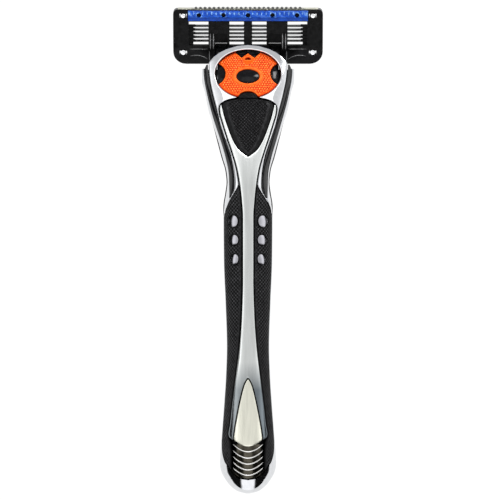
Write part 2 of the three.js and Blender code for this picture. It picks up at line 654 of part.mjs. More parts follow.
let chassis = loft(-66.2, HEAD_END - 0.2, CORE, 0, 2 * Math.PI, 16);
chassis = chassis.subtract(docked(box(-14, 14, -10.4, 12, 2.0, 12)));
chassis = chassis.subtract(docked(box(-7.8, 7.8, -9.5, 12, -1.7, 3)));
chassis = chassis.subtract(docked(box(-14, 14, -0.3, 12, -12, 12)));
keep("chassis", chassis, BLACK, 0, 0.6);

// ---------------------------------------------------------------- assembly
const razor = new THREE.Group();
razor.name = "cartridge_razor";
const bounds = new THREE.Box3();
const ready = [];
for (const piece of pieces) {
  const { vertProperties, triVerts } = piece.one.getMesh();
  const geometry = new THREE.BufferGeometry();
  geometry.setAttribute("position", new THREE.BufferAttribute(vertProperties, 3));
  geometry.setIndex(new THREE.BufferAttribute(triVerts, 1));
  geometry.computeBoundingBox();
  bounds.union(geometry.boundingBox);
  ready.push([piece, geometry]);
}
const middle = bounds.getCenter(new THREE.Vector3());
for (const [piece, geometry] of ready) {
  geometry.translate(-middle.x, -middle.y, -bounds.min.z);
  const faceted = geometry.toNonIndexed();
  faceted.computeVertexNormals();
  const material = new THREE.MeshStandardMaterial({
    color: piece.color,
    metalness: piece.metalness,
    roughness: piece.roughness,
  });
  material.name = `${piece.name}_finish`;
  const mesh = new THREE.Mesh(faceted, material);
  mesh.name = piece.name;
  razor.add(mesh);
}

export default razor;
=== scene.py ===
"""Looks of the cartridge razor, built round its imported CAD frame.

Lengths are millimetres in the design frame (handle along Y, tail at Y -68.35) until
`to_row` turns them into metres in the row frame.
"""

from math import atan, atan2, ceil, cos, pi, radians, sin

import bmesh
import bpy
import numpy as np
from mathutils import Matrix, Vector
from mathutils.geometry import delaunay_2d_cdt


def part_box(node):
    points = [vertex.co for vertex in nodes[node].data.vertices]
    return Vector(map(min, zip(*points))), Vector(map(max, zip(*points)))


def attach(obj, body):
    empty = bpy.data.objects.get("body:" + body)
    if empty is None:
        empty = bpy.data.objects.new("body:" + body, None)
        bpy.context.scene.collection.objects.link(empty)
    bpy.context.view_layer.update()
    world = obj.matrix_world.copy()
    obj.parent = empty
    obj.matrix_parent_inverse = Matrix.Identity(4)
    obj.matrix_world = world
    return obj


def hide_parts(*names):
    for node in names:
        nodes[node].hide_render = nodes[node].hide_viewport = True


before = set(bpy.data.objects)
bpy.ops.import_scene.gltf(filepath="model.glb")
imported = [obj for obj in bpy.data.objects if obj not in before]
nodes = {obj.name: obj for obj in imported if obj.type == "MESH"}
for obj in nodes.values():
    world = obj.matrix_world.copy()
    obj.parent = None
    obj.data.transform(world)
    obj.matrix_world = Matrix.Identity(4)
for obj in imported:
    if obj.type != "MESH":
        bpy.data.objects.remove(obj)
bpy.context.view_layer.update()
scene = bpy.context.scene

MM = 0.001
LOWEST = -68.35  # tail end
SHIFT_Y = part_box("rear_shell")[0].y / MM - LOWEST
SKIN = 1.2  # thickness of the handle skins
HEAD_END = 50.6  # open end of the back shell
HEAD_TILT, HEAD_Y, HEAD_Z = radians(12), 58.0, 3.1  # frame of the cartridge
DOCK_TILT, DOCK_Y, DOCK_Z = radians(-20), 50.0, 9.29  # frame of the button and dock
SIDES = ((1, "right"), (-1, "left"))

# ---- handle surface
# Tables of (Y, value), read by `along`. TOP, BOTTOM and WAIST are heights, FLATNESS is the
# exponent of the upper half section, and the rest are half widths.
UNDER_FLATNESS = 2.6
HALF_WIDTH = [
    (-68.35, 0.6), (-67.9, 2.4), (-67.4, 3.5), (-65.1, 5.9), (-62, 7.6), (-60, 7.95),
    (-52.5, 7.5), (-43.5, 6.84), (-35, 6.3), (-27, 6.05), (-15, 6.4), (-3, 6.87),
    (8, 6.95), (12.3, 6.9), (16, 6.35), (19, 6.0), (22, 6.3), (26, 7.45), (30, 8.5),
    (35, 9.8), (39, 11.1), (44, 12.1), (47.5, 12.95), (51, 12.95), (54, 13.4), (58, 14),
]
TOP = [
    (-68.35, 5.9), (-67.9, 7.2), (-66, 8.8), (-62, 10.5), (-55, 12.3), (-40, 13.5),
    (-20, 14.8), (0, 15.8), (15, 16.6), (27, 17.3), (34, 17.2), (42, 16.2), (49, 14.5),
    (58, 11.6),
]
BOTTOM = [
    (-68.35, 5.1), (-67.9, 3.7), (-66, 2.0), (-63, 0.5), (-60, -0.1), (-55, -0.25),
    (-50, 0.1), (-42, 1.0), (-30, 2.5), (-10, 4.3), (10, 5.3), (30, 5.0), (45, 5.4),
    (50, 5.8), (58, 7.4),
]
WAIST = [
    (-68.35, 5.5), (-60, 4.8), (-40, 6.4), (-10, 9.0), (15, 10.2), (40, 10.6), (58, 9.4),
]
FLATNESS = [
    (-68.35, 1.85), (-60, 1.95), (-40, 2.3), (10, 2.3), (34, 2.5), (45, 3.3), (58, 3.5),
]
SPINE_EDGE = [
    (-52.6, 4.6), (-51.5, 5.45), (-48.6, 5.0), (-44, 4.5), (-35.2, 3.4), (-26.3, 2.36),
    (-17.3, 1.77), (-8.4, 1.53), (9.5, 1.53), (13.4, 1.8), (18, 2.25), (22.3, 2.95),
    (26.8, 4.2), (31.3, 5.7), (35.8, 7.1), (38, 7.7), (39.6, 7.85), (40.6, 7.0),
]
PAD_EDGE = [
    (26.3, 0.3), (26.8, 1.1), (27.9, 2.35), (30.2, 3.8), (32.4, 4.75), (34.6, 5.55),
    (36.9, 6.3), (39.1, 6.85), (40.2, 7.1), (41.3, 6.1), (42.0, 2.75), (43.0, 2.3),
    (43.7, 1.2), (43.8, 0.3),
]
PANEL_EDGE = [
    (-53.8, 2.0), (-53.1, 4.0), (-50.8, 3.75), (-46.4, 3.0), (-41.9, 2.1), (-37.4, 0.9),
    (-36, 0.15),
]
TONGUE_EDGE = [
    (-64, 0.4), (-63.6, 2.5), (-61.6, 4.55), (-57.5, 4.6), (-54.1, 4.35),
]
INLAY_INNER = [
    (14.6, 5.1), (17, 3.98), (19, 3.95), (21.2, 4.1), (25.7, 4.85), (30.2, 6.3),
    (34.6, 7.8), (39.1, 8.9), (43.6, 10.05), (48, 10.9), (50.3, 11.1), (52, 11.15),
]
INLAY_OUTER = [
    (14.6, 5.25), (17, 5.2), (19, 5.25), (21.2, 5.35), (25.7, 6.2), (30.2, 7.5),
    (34.6, 8.75), (39.1, 10.05), (43.6, 11.15), (48, 11.95), (50.3, 12.1), (52, 11.4),
]
RIM_EDGE = [
    (-64.3, 0.0), (-63.9, 2.75), (-61.7, 5.0), (-59.4, 6.2), (-57, 6.95), (-54, 7.12),
    (-48, 6.75), (-43.5, 6.5), (-35, 5.95), (-27, 5.7), (-15, 6.05), (-3, 6.52),
    (8, 6.6), (11, 6.5), (13, 5.85), (14.3, 5.45), (17, 5.5), (19, 5.55), (21.2, 5.65),
    (25.7, 6.5), (30.2, 7.8), (34.6, 9.05), (39.1, 10.35), (43.6, 11.45), (48, 12.25),
    (50.3, 12.4), (58, 12.4),
]


def unit(value):
    """Value held between 0 and 1."""
    return np.clip(value, 0, 1)


def along(table, y):
    """Smooth, non-overshooting interpolation through a table of (y, value)."""
    ys = np.array([r[0] for r in table], float)
    vs = np.array([r[1] for r in table], float)
    h = np.diff(ys)
    chord = np.diff(vs) / h
    slope = np.empty_like(vs)
    slope[0], slope[-1] = chord[0], chord[-1]
    a, b = chord[:-1], chord[1:]
    with np.errstate(divide="ignore", invalid="ignore"):
        mean = 2 * a * b / (a + b)
    slope[1:-1] = np.where(a * b <= 0, 0, mean)
    y = np.clip(np.asarray(y, float), ys[0], ys[-1])
    i = np.clip(np.searchsorted(ys, y, "right") - 1, 0, len(h) - 1)
    t = (y - ys[i]) / h[i]
    return (vs[i] * (2 * t**3 - 3 * t**2 + 1) + h[i] * slope[i] * (t**3 - 2 * t**2 + t)
            + vs[i + 1] * (3 * t**2 - 2 * t**3) + h[i] * slope[i + 1] * (t**3 - t**2))


def top_height(x, y):
    """Height of the upper skin."""
    x, y = np.asarray(x, float), np.asarray(y, float)
    waist, p = along(WAIST, y), along(FLATNESS, y)
    part = unit(1 - np.abs(x / along(HALF_WIDTH, y)) ** p)
    return waist + (along(TOP, y) - waist) * part ** (1 / p)


def under_height(x, y):
    """Height of the back skin."""
    x, y = np.asarray(x, float), np.asarray(y, float)
    waist = along(WAIST, y)
    part = unit(1 - np.abs(x / along(HALF_WIDTH, y)) ** UNDER_FLATNESS)
    return waist - (waist - along(BOTTOM, y)) * part ** (1 / UNDER_FLATNESS)


def section(y, angle, inset=0.0):
    """Point (x, z) on the handle section at y; angle 0 is the right side, 90 degrees the top."""
    c, s = np.cos(angle), np.sin(angle)
    waist = along(WAIST, y)
    wide = np.maximum(0.12, along(HALF_WIDTH, y) - inset)
    tall = np.where(s >= 0, np.maximum(0.1, along(TOP, y) - inset - waist),
                    np.maximum(0.1, waist - along(BOTTOM, y) - inset))
    power = 2 / np.where(s >= 0, along(FLATNESS, y), UNDER_FLATNESS)
    return wide * np.sign(c) * np.abs(c) ** power, waist + tall * np.sign(s) * np.abs(s) ** power


def angle_at(x, y):
    """Section angle where the upper half reaches half width x."""
    ratio = unit(np.asarray(x, float) / along(HALF_WIDTH, y))
    return np.arccos(ratio ** (along(FLATNESS, y) / 2))


# ---- mesh helpers
def to_row(points):
    """Design frame in millimetres to row frame in metres."""
    points = np.asarray(points, float).reshape(-1, 3).copy()
    points[:, 1] += SHIFT_Y
    return points * MM


def smooth(mesh, sharp):
    """Smooth shading that keeps edges over an angle in degrees crisp."""
    mesh.polygons.foreach_set("use_smooth", [True] * len(mesh.polygons))
    mesh.set_sharp_from_angle(angle=radians(sharp))


def add_object(name, data):
    """New object, linked to the scene."""
    obj = bpy.data.objects.new(name, data)
    scene.collection.objects.link(obj)
    return obj


def make(name, points, faces, mat, body, sharp=40, tone=None):
    """Mesh object riding a body; tone is a shade value for each of its first points."""
    mesh = bpy.data.meshes.new(name)
    mesh.from_pydata(to_row(points).tolist(), [], faces)
    mesh.update()
    if tone is not None:
        layer = mesh.attributes.new("tone", "FLOAT", "POINT")
        full = np.zeros(len(mesh.vertices))
        full[:len(tone)] = tone
        layer.data.foreach_set("value", full)
    bm = bmesh.new()
    bm.from_mesh(mesh)
    bmesh.ops.remove_doubles(bm, verts=bm.verts, dist=2e-6)
    bmesh.ops.dissolve_degenerate(bm, edges=bm.edges, dist=1e-6)
    bmesh.ops.recalc_face_normals(bm, faces=bm.faces)
    bm.to_mesh(mesh)
    bm.free()
    smooth(mesh, sharp)
    obj = add_object(name, mesh)
    obj.data.materials.append(mat)
    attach(obj, body)
    return obj


ROW_PITCH = 0.866  # row spacing of a triangular grid, in steps


def dense(points, step):
    """Points of a closed outline, resampled so no segment is longer than step."""
    points = [np.asarray(p, float) for p in points]
    out = []
    for a, b in zip(points, points[1:] + points[:1]):
        n = max(1, int(ceil(np.linalg.norm(b - a) / step)))
        out += [a + (b - a) * k / n for k in range(n)]
    return np.array(out)


def distance(points, loops):
    """Distance from each point to the nearest segment of any closed loop."""
    best = np.full(len(points), 1e9)
    batch = 4000
    for loop in loops:
        a, b = loop, np.roll(loop, -1, axis=0)
        d = b - a
        length = np.maximum((d**2).sum(1), 1e-12)
        for start in range(0, len(points), batch):
            part = slice(start, start + batch)
            p = points[part]
            t = unit(((p[:, None] - a) * d).sum(2) / length)[..., None]
            gap = np.linalg.norm(p[:, None] - (a + t * d), axis=2).min(1)
            best[part] = np.minimum(best[part], gap)
    return best


def inside(points, loop):
    """Whether each point lies inside a closed loop."""
    x, y = points[:, 0], points[:, 1]
    hit = np.zeros(len(points), bool)
    for (x0, y0), (x1, y1) in zip(loop, np.roll(loop, -1, axis=0)):
        cross = (y0 > y) != (y1 > y)
        if cross.any():
            at = (x1 - x0) * (y - y0) / ((y1 - y0) or 1e-12) + x0
            hit ^= cross & (x < at)
    return hit


def area(loop):
    """Signed area of a loop, positive when it runs anticlockwise."""
    x, y = loop[:, 0], loop[:, 1]
    return 0.5 * (x * np.roll(y, -1) - y * np.roll(x, -1)).sum()


def within(points, loops):
    """Whether each point lies inside the outline and outside its holes."""
    ok = inside(points, loops[0])
    for hole in loops[1:]:
        ok &= ~inside(points, hole)
    return ok


def rim_points(loops, edge):
    """Rings of points just inside every loop, which carry the rounded rim."""
    points = []
    for loop in loops:
        tangent = np.roll(loop, -1, axis=0) - np.roll(loop, 1, axis=0)
        tangent /= np.maximum(np.linalg.norm(tangent, axis=1), 1e-9)[:, None]
        normal = np.stack([-tangent[:, 1], tangent[:, 0]], 1)
        for angle in (30, 52, 72, 90):
            d = edge * (1 - cos(radians(angle)))
            moved = loop + normal * d
            points += [tuple(p) for p in moved[distance(moved, loops) > d * 0.97]]
    return points


def field_points(loops, step, edge):
    """Triangular grid of points clear of the rim."""
    low, high = loops[0].min(0), loops[0].max(0)
    grid = []
    for k, y in enumerate(np.arange(low[1], high[1], step * ROW_PITCH)):
        xs = np.arange(low[0] + (k % 2) * step / 2, high[0], step)
        grid.append(np.stack([xs, np.full_like(xs, y)], 1))
    grid = np.concatenate(grid)
    grid = grid[within(grid, loops)]
    return [tuple(p) for p in grid[distance(grid, loops) > edge + 0.45 * step]]


def plan_mesh(loops, step, edge):
    """Points and triangles that fill a plan shape."""
    points, fixed = [], []
    for loop in loops:
        start = len(points)
        points += [tuple(p) for p in loop]
        fixed += [(start + i, start + (i + 1) % len(loop)) for i in range(len(loop))]
    points += rim_points(loops, edge) + field_points(loops, step, edge)
    verts, _, faces, *_ = delaunay_2d_cdt([Vector(p) for p in points], fixed, [], 0, 1e-7)
    flat = np.array([(v.x, v.y) for v in verts])
    tri = np.array([f for f in faces if len(f) == 3])
    tri = tri[within(flat[tri].mean(1), loops)]
    used = np.unique(tri)
    remap = -np.ones(len(flat), int)
    remap[used] = np.arange(len(used))
    return flat[used], remap[tri]


def open_edges(tri):
    """Directed edges that belong to a single triangle."""
    seen = {}
    for t in tri:
        for a, b in ((t[0], t[1]), (t[1], t[2]), (t[2], t[0])):
            key = (min(a, b), max(a, b))
            seen[key] = (a, b) if key not in seen else None
    return [e for e in seen.values() if e is not None]


def slab(name, outline, mat, body, height, holes=(), step=0.4, edge=0.2,
         thickness=SKIN, relief=None, sign=1, frame_map=None, floor_level=None, tone=None):
    """A piece cut out in plan: a curved face with rounded rims over straight walls.

    height(x, y) is the face; relief(x, y, d) is added, with d the distance to the rim.
    sign is -1 for a face that looks down. floor_level makes the far face flat.
    """
    spacing = min(step, 0.35)
    loops = [dense(outline, spacing)] + [dense(h, spacing) for h in holes]
    if area(loops[0]) < 0:
        loops[0] = loops[0][::-1]
    loops[1:] = [h if area(h) < 0 else h[::-1] for h in loops[1:]]
    flat, tri = plan_mesh(loops, step, edge)
    x, y = flat[:, 0], flat[:, 1]
    d = distance(flat, loops)
    drop = np.where(d < edge, edge - np.sqrt(np.maximum(edge**2 - (edge - d) ** 2, 0)), 0)
    z = height(x, y)
    if relief is not None:
        z = z + sign * relief(x, y, d)
    top = np.column_stack([flat, z - sign * drop])
    base = height(x, y) - sign * thickness
    if floor_level is not None:
        base = np.full(len(top), floor_level)
    under = np.column_stack([flat, base])
    faces = [tuple(int(i) for i in t) for t in tri]
    rim = open_edges(tri)
    rim_ids = sorted({i for e in rim for i in e})
    low_id = {i: len(top) + k for k, i in enumerate(rim_ids)}
    for a, b in rim:
        faces.append((int(b), int(a), low_id[a], low_id[b]))
    points = np.concatenate([top, under[rim_ids]])
    if frame_map is not None:
        points = frame_map(points)
    obj = make(name, points, faces, mat, body, tone=None if tone is None else tone(x, y, d))
    bm = bmesh.new()
    bm.from_mesh(obj.data)
    rim = [e for e in bm.edges if len(e.link_faces) == 1]
    bmesh.ops.triangle_fill(bm, edges=rim, use_beauty=True, use_dissolve=False)
    bmesh.ops.recalc_face_normals(bm, faces=bm.faces)
    bm.to_mesh(obj.data)
    bm.free()
    smooth(obj.data, 40)
    return obj


def grid_faces(rows, cols, start=0, wrap=False):
    """Quads over a rows by cols grid of points, closed round each row if wrap is set."""
    faces = []
    for r in range(rows - 1):
        for c in range(cols if wrap else cols - 1):
            a = start + r * cols + c
            b = start + r * cols + (c + 1) % cols
            faces.append((a, b, b + cols, a + cols))
    return faces


def tube_faces(rows, ring):
    """Faces of a capped tube of rows of ring points."""
    caps = [list(range(ring)), list(range((rows - 1) * ring, rows * ring))]
    return grid_faces(rows, ring, wrap=True) + caps


def banner(table):
    """Symmetric outline from a table of half widths."""
    ys = np.array([r[0] for r in table])
    y = np.unique(np.concatenate([ys, np.arange(ys[0], ys[-1], 0.3)]))
    right = list(zip(along(table, y), y))
    return right + [(-a, b) for a, b in right[::-1]]


def tilted(points, tilt, y, z):
    """Points of a frame turned about X and placed at (y, z), in the design frame."""
    p = np.asarray(points, float)
    c, s = cos(tilt), sin(tilt)
    return np.column_stack([p[:, 0], y + p[:, 1] * c - p[:, 2] * s,
                            z + p[:, 1] * s + p[:, 2] * c])


def docked(points):
    """Dock frame (x, along the slide, away from the floor) to the design frame."""
    return tilted(points, DOCK_TILT, DOCK_Y, DOCK_Z)


def headed(points):
    """Cartridge frame (x, guard to cap, away from the skin) to the design frame."""
    return tilted(points, HEAD_TILT, HEAD_Y, HEAD_Z)


# ---- materials
MOTTLE_SCALE, SMUDGE_SCALE = 900, 160


def set_inputs(node, **values):
    """Set sockets by name, written with _ for each space."""
    for key, value in values.items():
        node.inputs[key.replace("_", " ")].default_value = value


def material(name, color, metallic=0.0, roughness=0.4, specular=0.5, mottle=0.06, smudge=0.05,
             bump=0.02, bump_scale=6000, bump_depth=0.00002, tint=None, stretch=(1, 1, 1),
             dark=None, light=None):
    """Principled finish with colour mottling, roughness smudges and a fine surface grain.

    dark and light multiply the colour where a mesh's tone is 0 or 1; at 0.5 it is unchanged.
    """
    mat = bpy.data.materials.new(name)
    mat.use_nodes = True
    tree = mat.node_tree
    link = tree.links.new
    new = tree.nodes.new
    shader = tree.nodes["Principled BSDF"]
    set_inputs(shader, Metallic=metallic, Specular_IOR_Level=specular)
    place = new("ShaderNodeTexCoord")
    mapping = new("ShaderNodeMapping")
    set_inputs(mapping, Scale=stretch)
    link(place.outputs["Object"], mapping.inputs["Vector"])

    def noise(scale, detail=3.0):
        node = new("ShaderNodeTexNoise")
        set_inputs(node, Scale=scale, Detail=detail)
        link(mapping.outputs["Vector"], node.inputs["Vector"])
        return node

    def ramp(source, low, high):
        node = new("ShaderNodeMapRange")
        set_inputs(node, From_Min=0.3, From_Max=0.7, To_Min=low, To_Max=high)
        link(source.outputs["Fac"], node.inputs["Value"])
        return node

    mix = new("ShaderNodeMix")
    mix.data_type = "RGBA"
    other = tint or tuple(min(1.0, c * (1 + 4 * mottle) + 0.012 * mottle) for c in color)
    set_inputs(mix, A=(*[c * (1 - mottle) for c in color], 1), B=(*other, 1))
    link(ramp(noise(MOTTLE_SCALE), 0, 1).outputs["Result"], mix.inputs["Factor"])
    color_out = mix.outputs["Result"]
    if light is not None:
        attribute = new("ShaderNodeAttribute")
        attribute.attribute_name = "tone"
        stops = new("ShaderNodeValToRGB")
        elements = stops.color_ramp.elements
        elements[0].color, elements[1].color = (*dark, 1), (*light, 1)
        elements.new(0.5).color = (1, 1, 1, 1)
        link(attribute.outputs["Fac"], stops.inputs["Fac"])
        tinted = new("ShaderNodeMix")
        tinted.data_type = "RGBA"
        tinted.blend_type = "MULTIPLY"
        set_inputs(tinted, Factor=1.0)
        link(color_out, tinted.inputs["A"])
        link(stops.outputs["Color"], tinted.inputs["B"])
        color_out = tinted.outputs["Result"]
    link(color_out, shader.inputs["Base Color"])
    rough = ramp(noise(SMUDGE_SCALE), max(0.02, roughness - smudge), roughness + smudge)
    link(rough.outputs["Result"], shader.inputs["Roughness"])
    bumps = new("ShaderNodeBump")
    set_inputs(bumps, Strength=bump, Distance=bump_depth)
    link(noise(bump_scale, 2.0).outputs["Fac"], bumps.inputs["Height"])
    link(bumps.outputs["Normal"], shader.inputs["Normal"])
    return mat


BRUSHED = dict(metallic=1.0, smudge=0.04, bump=0.12, bump_scale=9000, stretch=(1, 0.08, 1))
GRIPPY = dict(roughness=0.5, specular=0.12, mottle=0.2, smudge=0.08, bump=0.25, bump_scale=5000,
              bump_depth=0.00004)
GLOSSY = dict(roughness=0.1, mottle=0.2, smudge=0.03)

chrome = material("chrome", (0.66, 0.67, 0.685), metallic=1.0, roughness=0.07, smudge=0.025,
                  mottle=0.02, bump=0.05)
stud_chrome = material("stud_chrome", (0.4, 0.4, 0.43), metallic=1.0, roughness=0.12,
                       smudge=0.03, mottle=0.03, bump=0.05)
# This material's dark and light carry the spine's painted reflection.
satin_long = material("satin_spine", (0.66, 0.68, 0.665), roughness=0.17, mottle=0.03,
                      dark=(0.2, 0.23, 0.26), light=(1.4, 1.4, 1.4), **BRUSHED)
warm = material("warm_silver", (0.76, 0.755, 0.65), roughness=0.24, mottle=0.04, **BRUSHED)
# Its dark and light carry the tongue's painted shade.
bronze = material("bronze", (0.06, 0.055, 0.043), metallic=1.0, roughness=0.18, mottle=0.15,
                  smudge=0.06, bump=0.1, dark=(0.03, 0.03, 0.03), light=(1.5, 1.5, 1.5))
rib_metal = material("rib_metal", (1.0, 0.99, 0.95), metallic=1.0, roughness=0.3, mottle=0.04)
rubber = material("grip_rubber", (0.008, 0.008, 0.0085), **GRIPPY)
# Its dark and light set the painted shade and highlights of the grips and thumb pad.
knurl = material("grip_knurl", (0.006, 0.006, 0.0064), dark=(0.1, 0.1, 0.1),
                 light=(6.0, 6.0, 6.0), **GRIPPY)
gloss = material("gloss_black", (0.0012, 0.0012, 0.002), specular=0.14, **GLOSSY)
inlay_gloss = material("inlay_gloss", (0.003, 0.003, 0.0036), **GLOSSY)
moulded = material("housing_black", (0.0015, 0.0015, 0.0016), roughness=0.28, specular=0.09,
                   mottle=0.3, smudge=0.08, bump=0.2, bump_scale=3500, bump_depth=0.00003)
dock_black = material("dock_black", (0.0012, 0.0012, 0.0014), roughness=0.42, specular=0.08,
                      mottle=0.25, bump=0.2, bump_scale=4500, bump_depth=0.00003)
# Its dark and light carry the button's painted highlights and shade.
orange = material("button_orange", (0.92, 0.07, 0.001), roughness=0.42, specular=0.15,
                  mottle=0.05, bump=0.15, bump_scale=5000, bump_depth=0.00003,
                  tint=(0.95, 0.1, 0.002), dark=(0.5, 0.14, 0.2), light=(1.08, 3.0, 30.0))
# Its dark and light carry the carrier's painted highlights and its darker step.
blue = material("trimmer_blue", (0.003, 0.05, 0.38), roughness=0.3, specular=0.2, mottle=0.12,
                bump=0.12, bump_scale=4000, bump_depth=0.00003, tint=(0.008, 0.085, 0.5),
                dark=(0.4, 0.5, 0.6), light=(40.0, 6.5, 1.8))
steel = material("blade_steel", (0.3, 0.3, 0.31), metallic=1.0, roughness=0.22, mottle=0.04,
                 bump=0.2, bump_scale=7000, stretch=(0.05, 1, 1))
support_steel = material("support_steel", (0.4, 0.41, 0.41), metallic=1.0, roughness=0.3,
                         mottle=0.08, bump=0.25, stretch=(0.05, 1, 1))
clip_metal = material("clip_steel", (0.88, 0.89, 0.9), metallic=1.0, roughness=0.13,
                      mottle=0.03)
# Lighter than the housing black: a painted highlight on the moulded ridges and streaks.
ridge_painted_highlight = material("ridge_painted_highlight", (0.11, 0.11, 0.112), roughness=0.35, specular=0.4,
                       mottle=0.2)
edge_olive = material("glide_edge", (0.34, 0.34, 0.27), specular=0.3, mottle=0.1, bump=0.2)
strip = material("glide_strip", (0.62, 0.74, 0.64), roughness=0.45, specular=0.4, mottle=0.08,
                 bump=0.3)


# ---- kept CAD nodes
def finish(names, mat, bevel=0.08, segments=2):
    """Give CAD nodes a material and, with modifiers, clean flats and rounded edges."""
    for name in names:
        obj = nodes[name]
        if not obj.material_slots:
            obj.data.materials.append(mat)
        for slot in obj.material_slots:
            slot.material = mat
        weld = obj.modifiers.new("weld", "WELD")
        weld.merge_threshold = 1e-6
        flat = obj.modifiers.new("planar", "DECIMATE")
        flat.decimate_type = "DISSOLVE"
        flat.angle_limit = radians(1.0)
        if bevel:
            round_off = obj.modifiers.new("bevel", "BEVEL")
            round_off.width = bevel * MM
            round_off.segments = segments
            round_off.limit_method = "ANGLE"
            round_off.angle_limit = radians(35)
            round_off.harden_normals = True
        for polygon in obj.data.polygons:
            polygon.use_smooth = True


finish(["housing"], moulded, 0.14, 3)
finish(["guard_strip"], rubber, 0.05)
finish(["lube_strip"], strip, 0.15)
finish([f"blade_{k}" for k in range(1, 6)] + ["trimmer_blade"], steel, 0)
finish([f"blade_support_{k}" for k in range(1, 6)], support_steel, 0.02)
finish(["clip_left", "clip_right"], clip_metal, 0.1, 3)
finish(["bracket", "nose", "ejector", "chassis"], dock_black, 0.12, 2)
finish(["plunger"], dock_black, 0.05)
finish(["plunger_spring", "ejector_spring_left", "ejector_spring_right"], steel, 0)

# ---- handle skins
HOOP = [(0, 57.3), (3.0, 57.0), (6.0, 56.1), (8.0, 55.1), (9.6, 53.9), (10.5, 52.9),
        (11.0, 52.1)]
GRIP_TOP = [(10.4, 6.35), (11.2, 6.15), (12.3, 5.75), (13.4, 5.25), (14.5, 4.6), (15.8, 3.75),
            (17.0, 3.0), (18.2, 2.35)]


def edge_line(table, ys, offset=0.0):
    """Points along a table's edge, moved outwards by offset."""
    return [(float(along(table, y)) + offset, y) for y in ys]


def mirrored(points):
    """The left half that goes with a right half, in reverse order."""
    return [(-x, y) for x, y in points[::-1]]


def neck_outline():
    """Hoop and arms; each offset is the seam left to the neighbouring piece."""
    outer = HOOP + edge_line(INLAY_INNER, np.arange(51.6, 17.2, -0.4), -0.2)
    outer += edge_line(INLAY_INNER, np.arange(17.0, 14.7, -0.3), -0.12)
    outer += [(5.25, 14.2), (5.55, 13.4)]
    inner = [(5.42, 13.2)] + edge_line(GRIP_TOP, np.arange(13.7, 18.0, 0.4), 0.16)
    inner += edge_line(SPINE_EDGE, np.arange(18.3, 39.5, 0.4), 0.37)
    inner += [(8.13, 39.7), (7.98, 40.2), (7.6, 40.72), (7.0, 41.15), (6.2, 41.58), (5.3, 41.88),
              (4.3, 42.12), (3.4, 42.28), (3.0, 42.4)]
    half_x, centre_y, front, back = 9.2, 49.2, 6.75, 7.05  # opening round the button
    arc = [(half_x * cos(a), centre_y + (front if a > 0 else back) * sin(a))
           for a in np.linspace(-1.225, pi / 2, 48)]
    right = outer + inner + arc
    return right + mirrored(right[1:-1])


neck = slab("neck_cover_shell", neck_outline(), chrome, "handle", top_height,
            step=0.35, edge=0.28, thickness=0.8)
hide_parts("neck_cover")


def spine_outline():
    """Y-shaped strip: outer seam up each arm, back down round the pad, then round the panel."""
    right = [(4.6, -52.6), (5.2, -52.4)] + edge_line(SPINE_EDGE, np.arange(-51.5, 39.7, 0.3))
    right += [(7.8, 40.0), (7.6, 40.35), (7.38, 40.5)]
    right += edge_line(PAD_EDGE, np.arange(40.0, 26.2, -0.3), 0.24) + [(0.0, 25.95)]
    panel = edge_line(PANEL_EDGE, np.arange(-53.1, -36.2, 0.3), 0.26)
    mouth = [(-x, y) for x, y in panel] + [(0.0, -35.5)] + panel[::-1]
    return right + mirrored(right[:-1]) + mouth


def spine_painted_reflection(x, y, d):
    """Painted reflection: darker, bluer metal either side of the tail panel, where the strip
    tilts outwards, more so on the right; lighter towards the arms.
    """
    tail = unit((-31 - y) / 8)
    return 0.5 - tail * np.where(x > 0, 0.48, 0.38) + 0.2 * unit((y - 18) / 8)


def spine_relief(x, y, d):
    """Rolled-over left edge that catches the light."""
    roll = unit(1 - d / 0.8) ** 2 * (x < 0)
    return -0.22 * roll * unit((y + 36) / 6) * unit((24 - y) / 10)


spine = slab("spine_strip", spine_outline(), satin_long, "handle", top_height,
             step=0.4, edge=0.22, relief=spine_relief, tone=spine_painted_reflection)
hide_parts("spine")


def pad_lump(x, y):
    """Chequered knurling, 0 in the grooves and 1 on the points."""
    pitch = 0.66
    u, v = (x + y) / pitch, (x - y) / pitch
    return np.abs(np.sin(pi * u * 0.7071)) * np.abs(np.sin(pi * v * 0.7071))


def pad_inset(x, y):
    """Distance in from the pad's two long sides."""
    return (along(PAD_EDGE, y) - np.abs(x)) * 0.87


def pad_knurled(x, y, d):
    """1 in the knurled middle of the pad, 0 on its plain border."""
    side = unit((pad_inset(x, y) - 1.45) / 0.15)
    return side * unit((d - 0.4) / 0.1) * unit((41.75 - y) / 0.12)


def pad_relief(x, y, d):
    """Raised border, sunk knurling and the groove before the foot of the button."""
    groove = 0.3 * np.exp(-(((y - 42.05) / 0.14) ** 2))
    shoulder = 0.14 * unit((d - 0.5) / 0.7)
    return shoulder + pad_knurled(x, y, d) * (0.26 * pad_lump(x, y) - 0.24) - groove


def pad_painted_light(x, y, d):
    """Painted light: a painted highlight along the border, painted shade towards the groove, and
    knurling painted dark on its points and lighter between them.
    """
    band = 0.32 + 0.3 * np.exp(-(((pad_inset(x, y) - 1.1) / 0.4) ** 2))
    band = np.where(y > 41.9, 0.08, np.where(y > 41.2, 0.25, band))
    knurls = unit(0.78 - 1.35 * pad_lump(x, y))
    return np.where(pad_knurled(x, y, d) > 0.3, knurls, band)


pad = slab("thumb_pad_rubber", banner(PAD_EDGE), knurl, "handle", top_height,
           step=0.13, edge=0.25, relief=pad_relief, tone=pad_painted_light)
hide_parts("thumb_pad")


def panel_outline():
    """Pointed arch, hollowed along its lower edge to follow the ribs."""
    right = edge_line(PANEL_EDGE, np.arange(-52.7, -36.0, 0.3)) + [(0.0, -35.95)]
    foot = [(x, -54.75 + 0.12 * x * x) for x in np.linspace(-3.7, 3.7, 24)]
    return foot + right + mirrored(right[:-1])


panel = slab("tail_panel_plate", panel_outline(), warm, "handle", top_height,
             step=0.35, edge=0.2)
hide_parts("tail_panel")


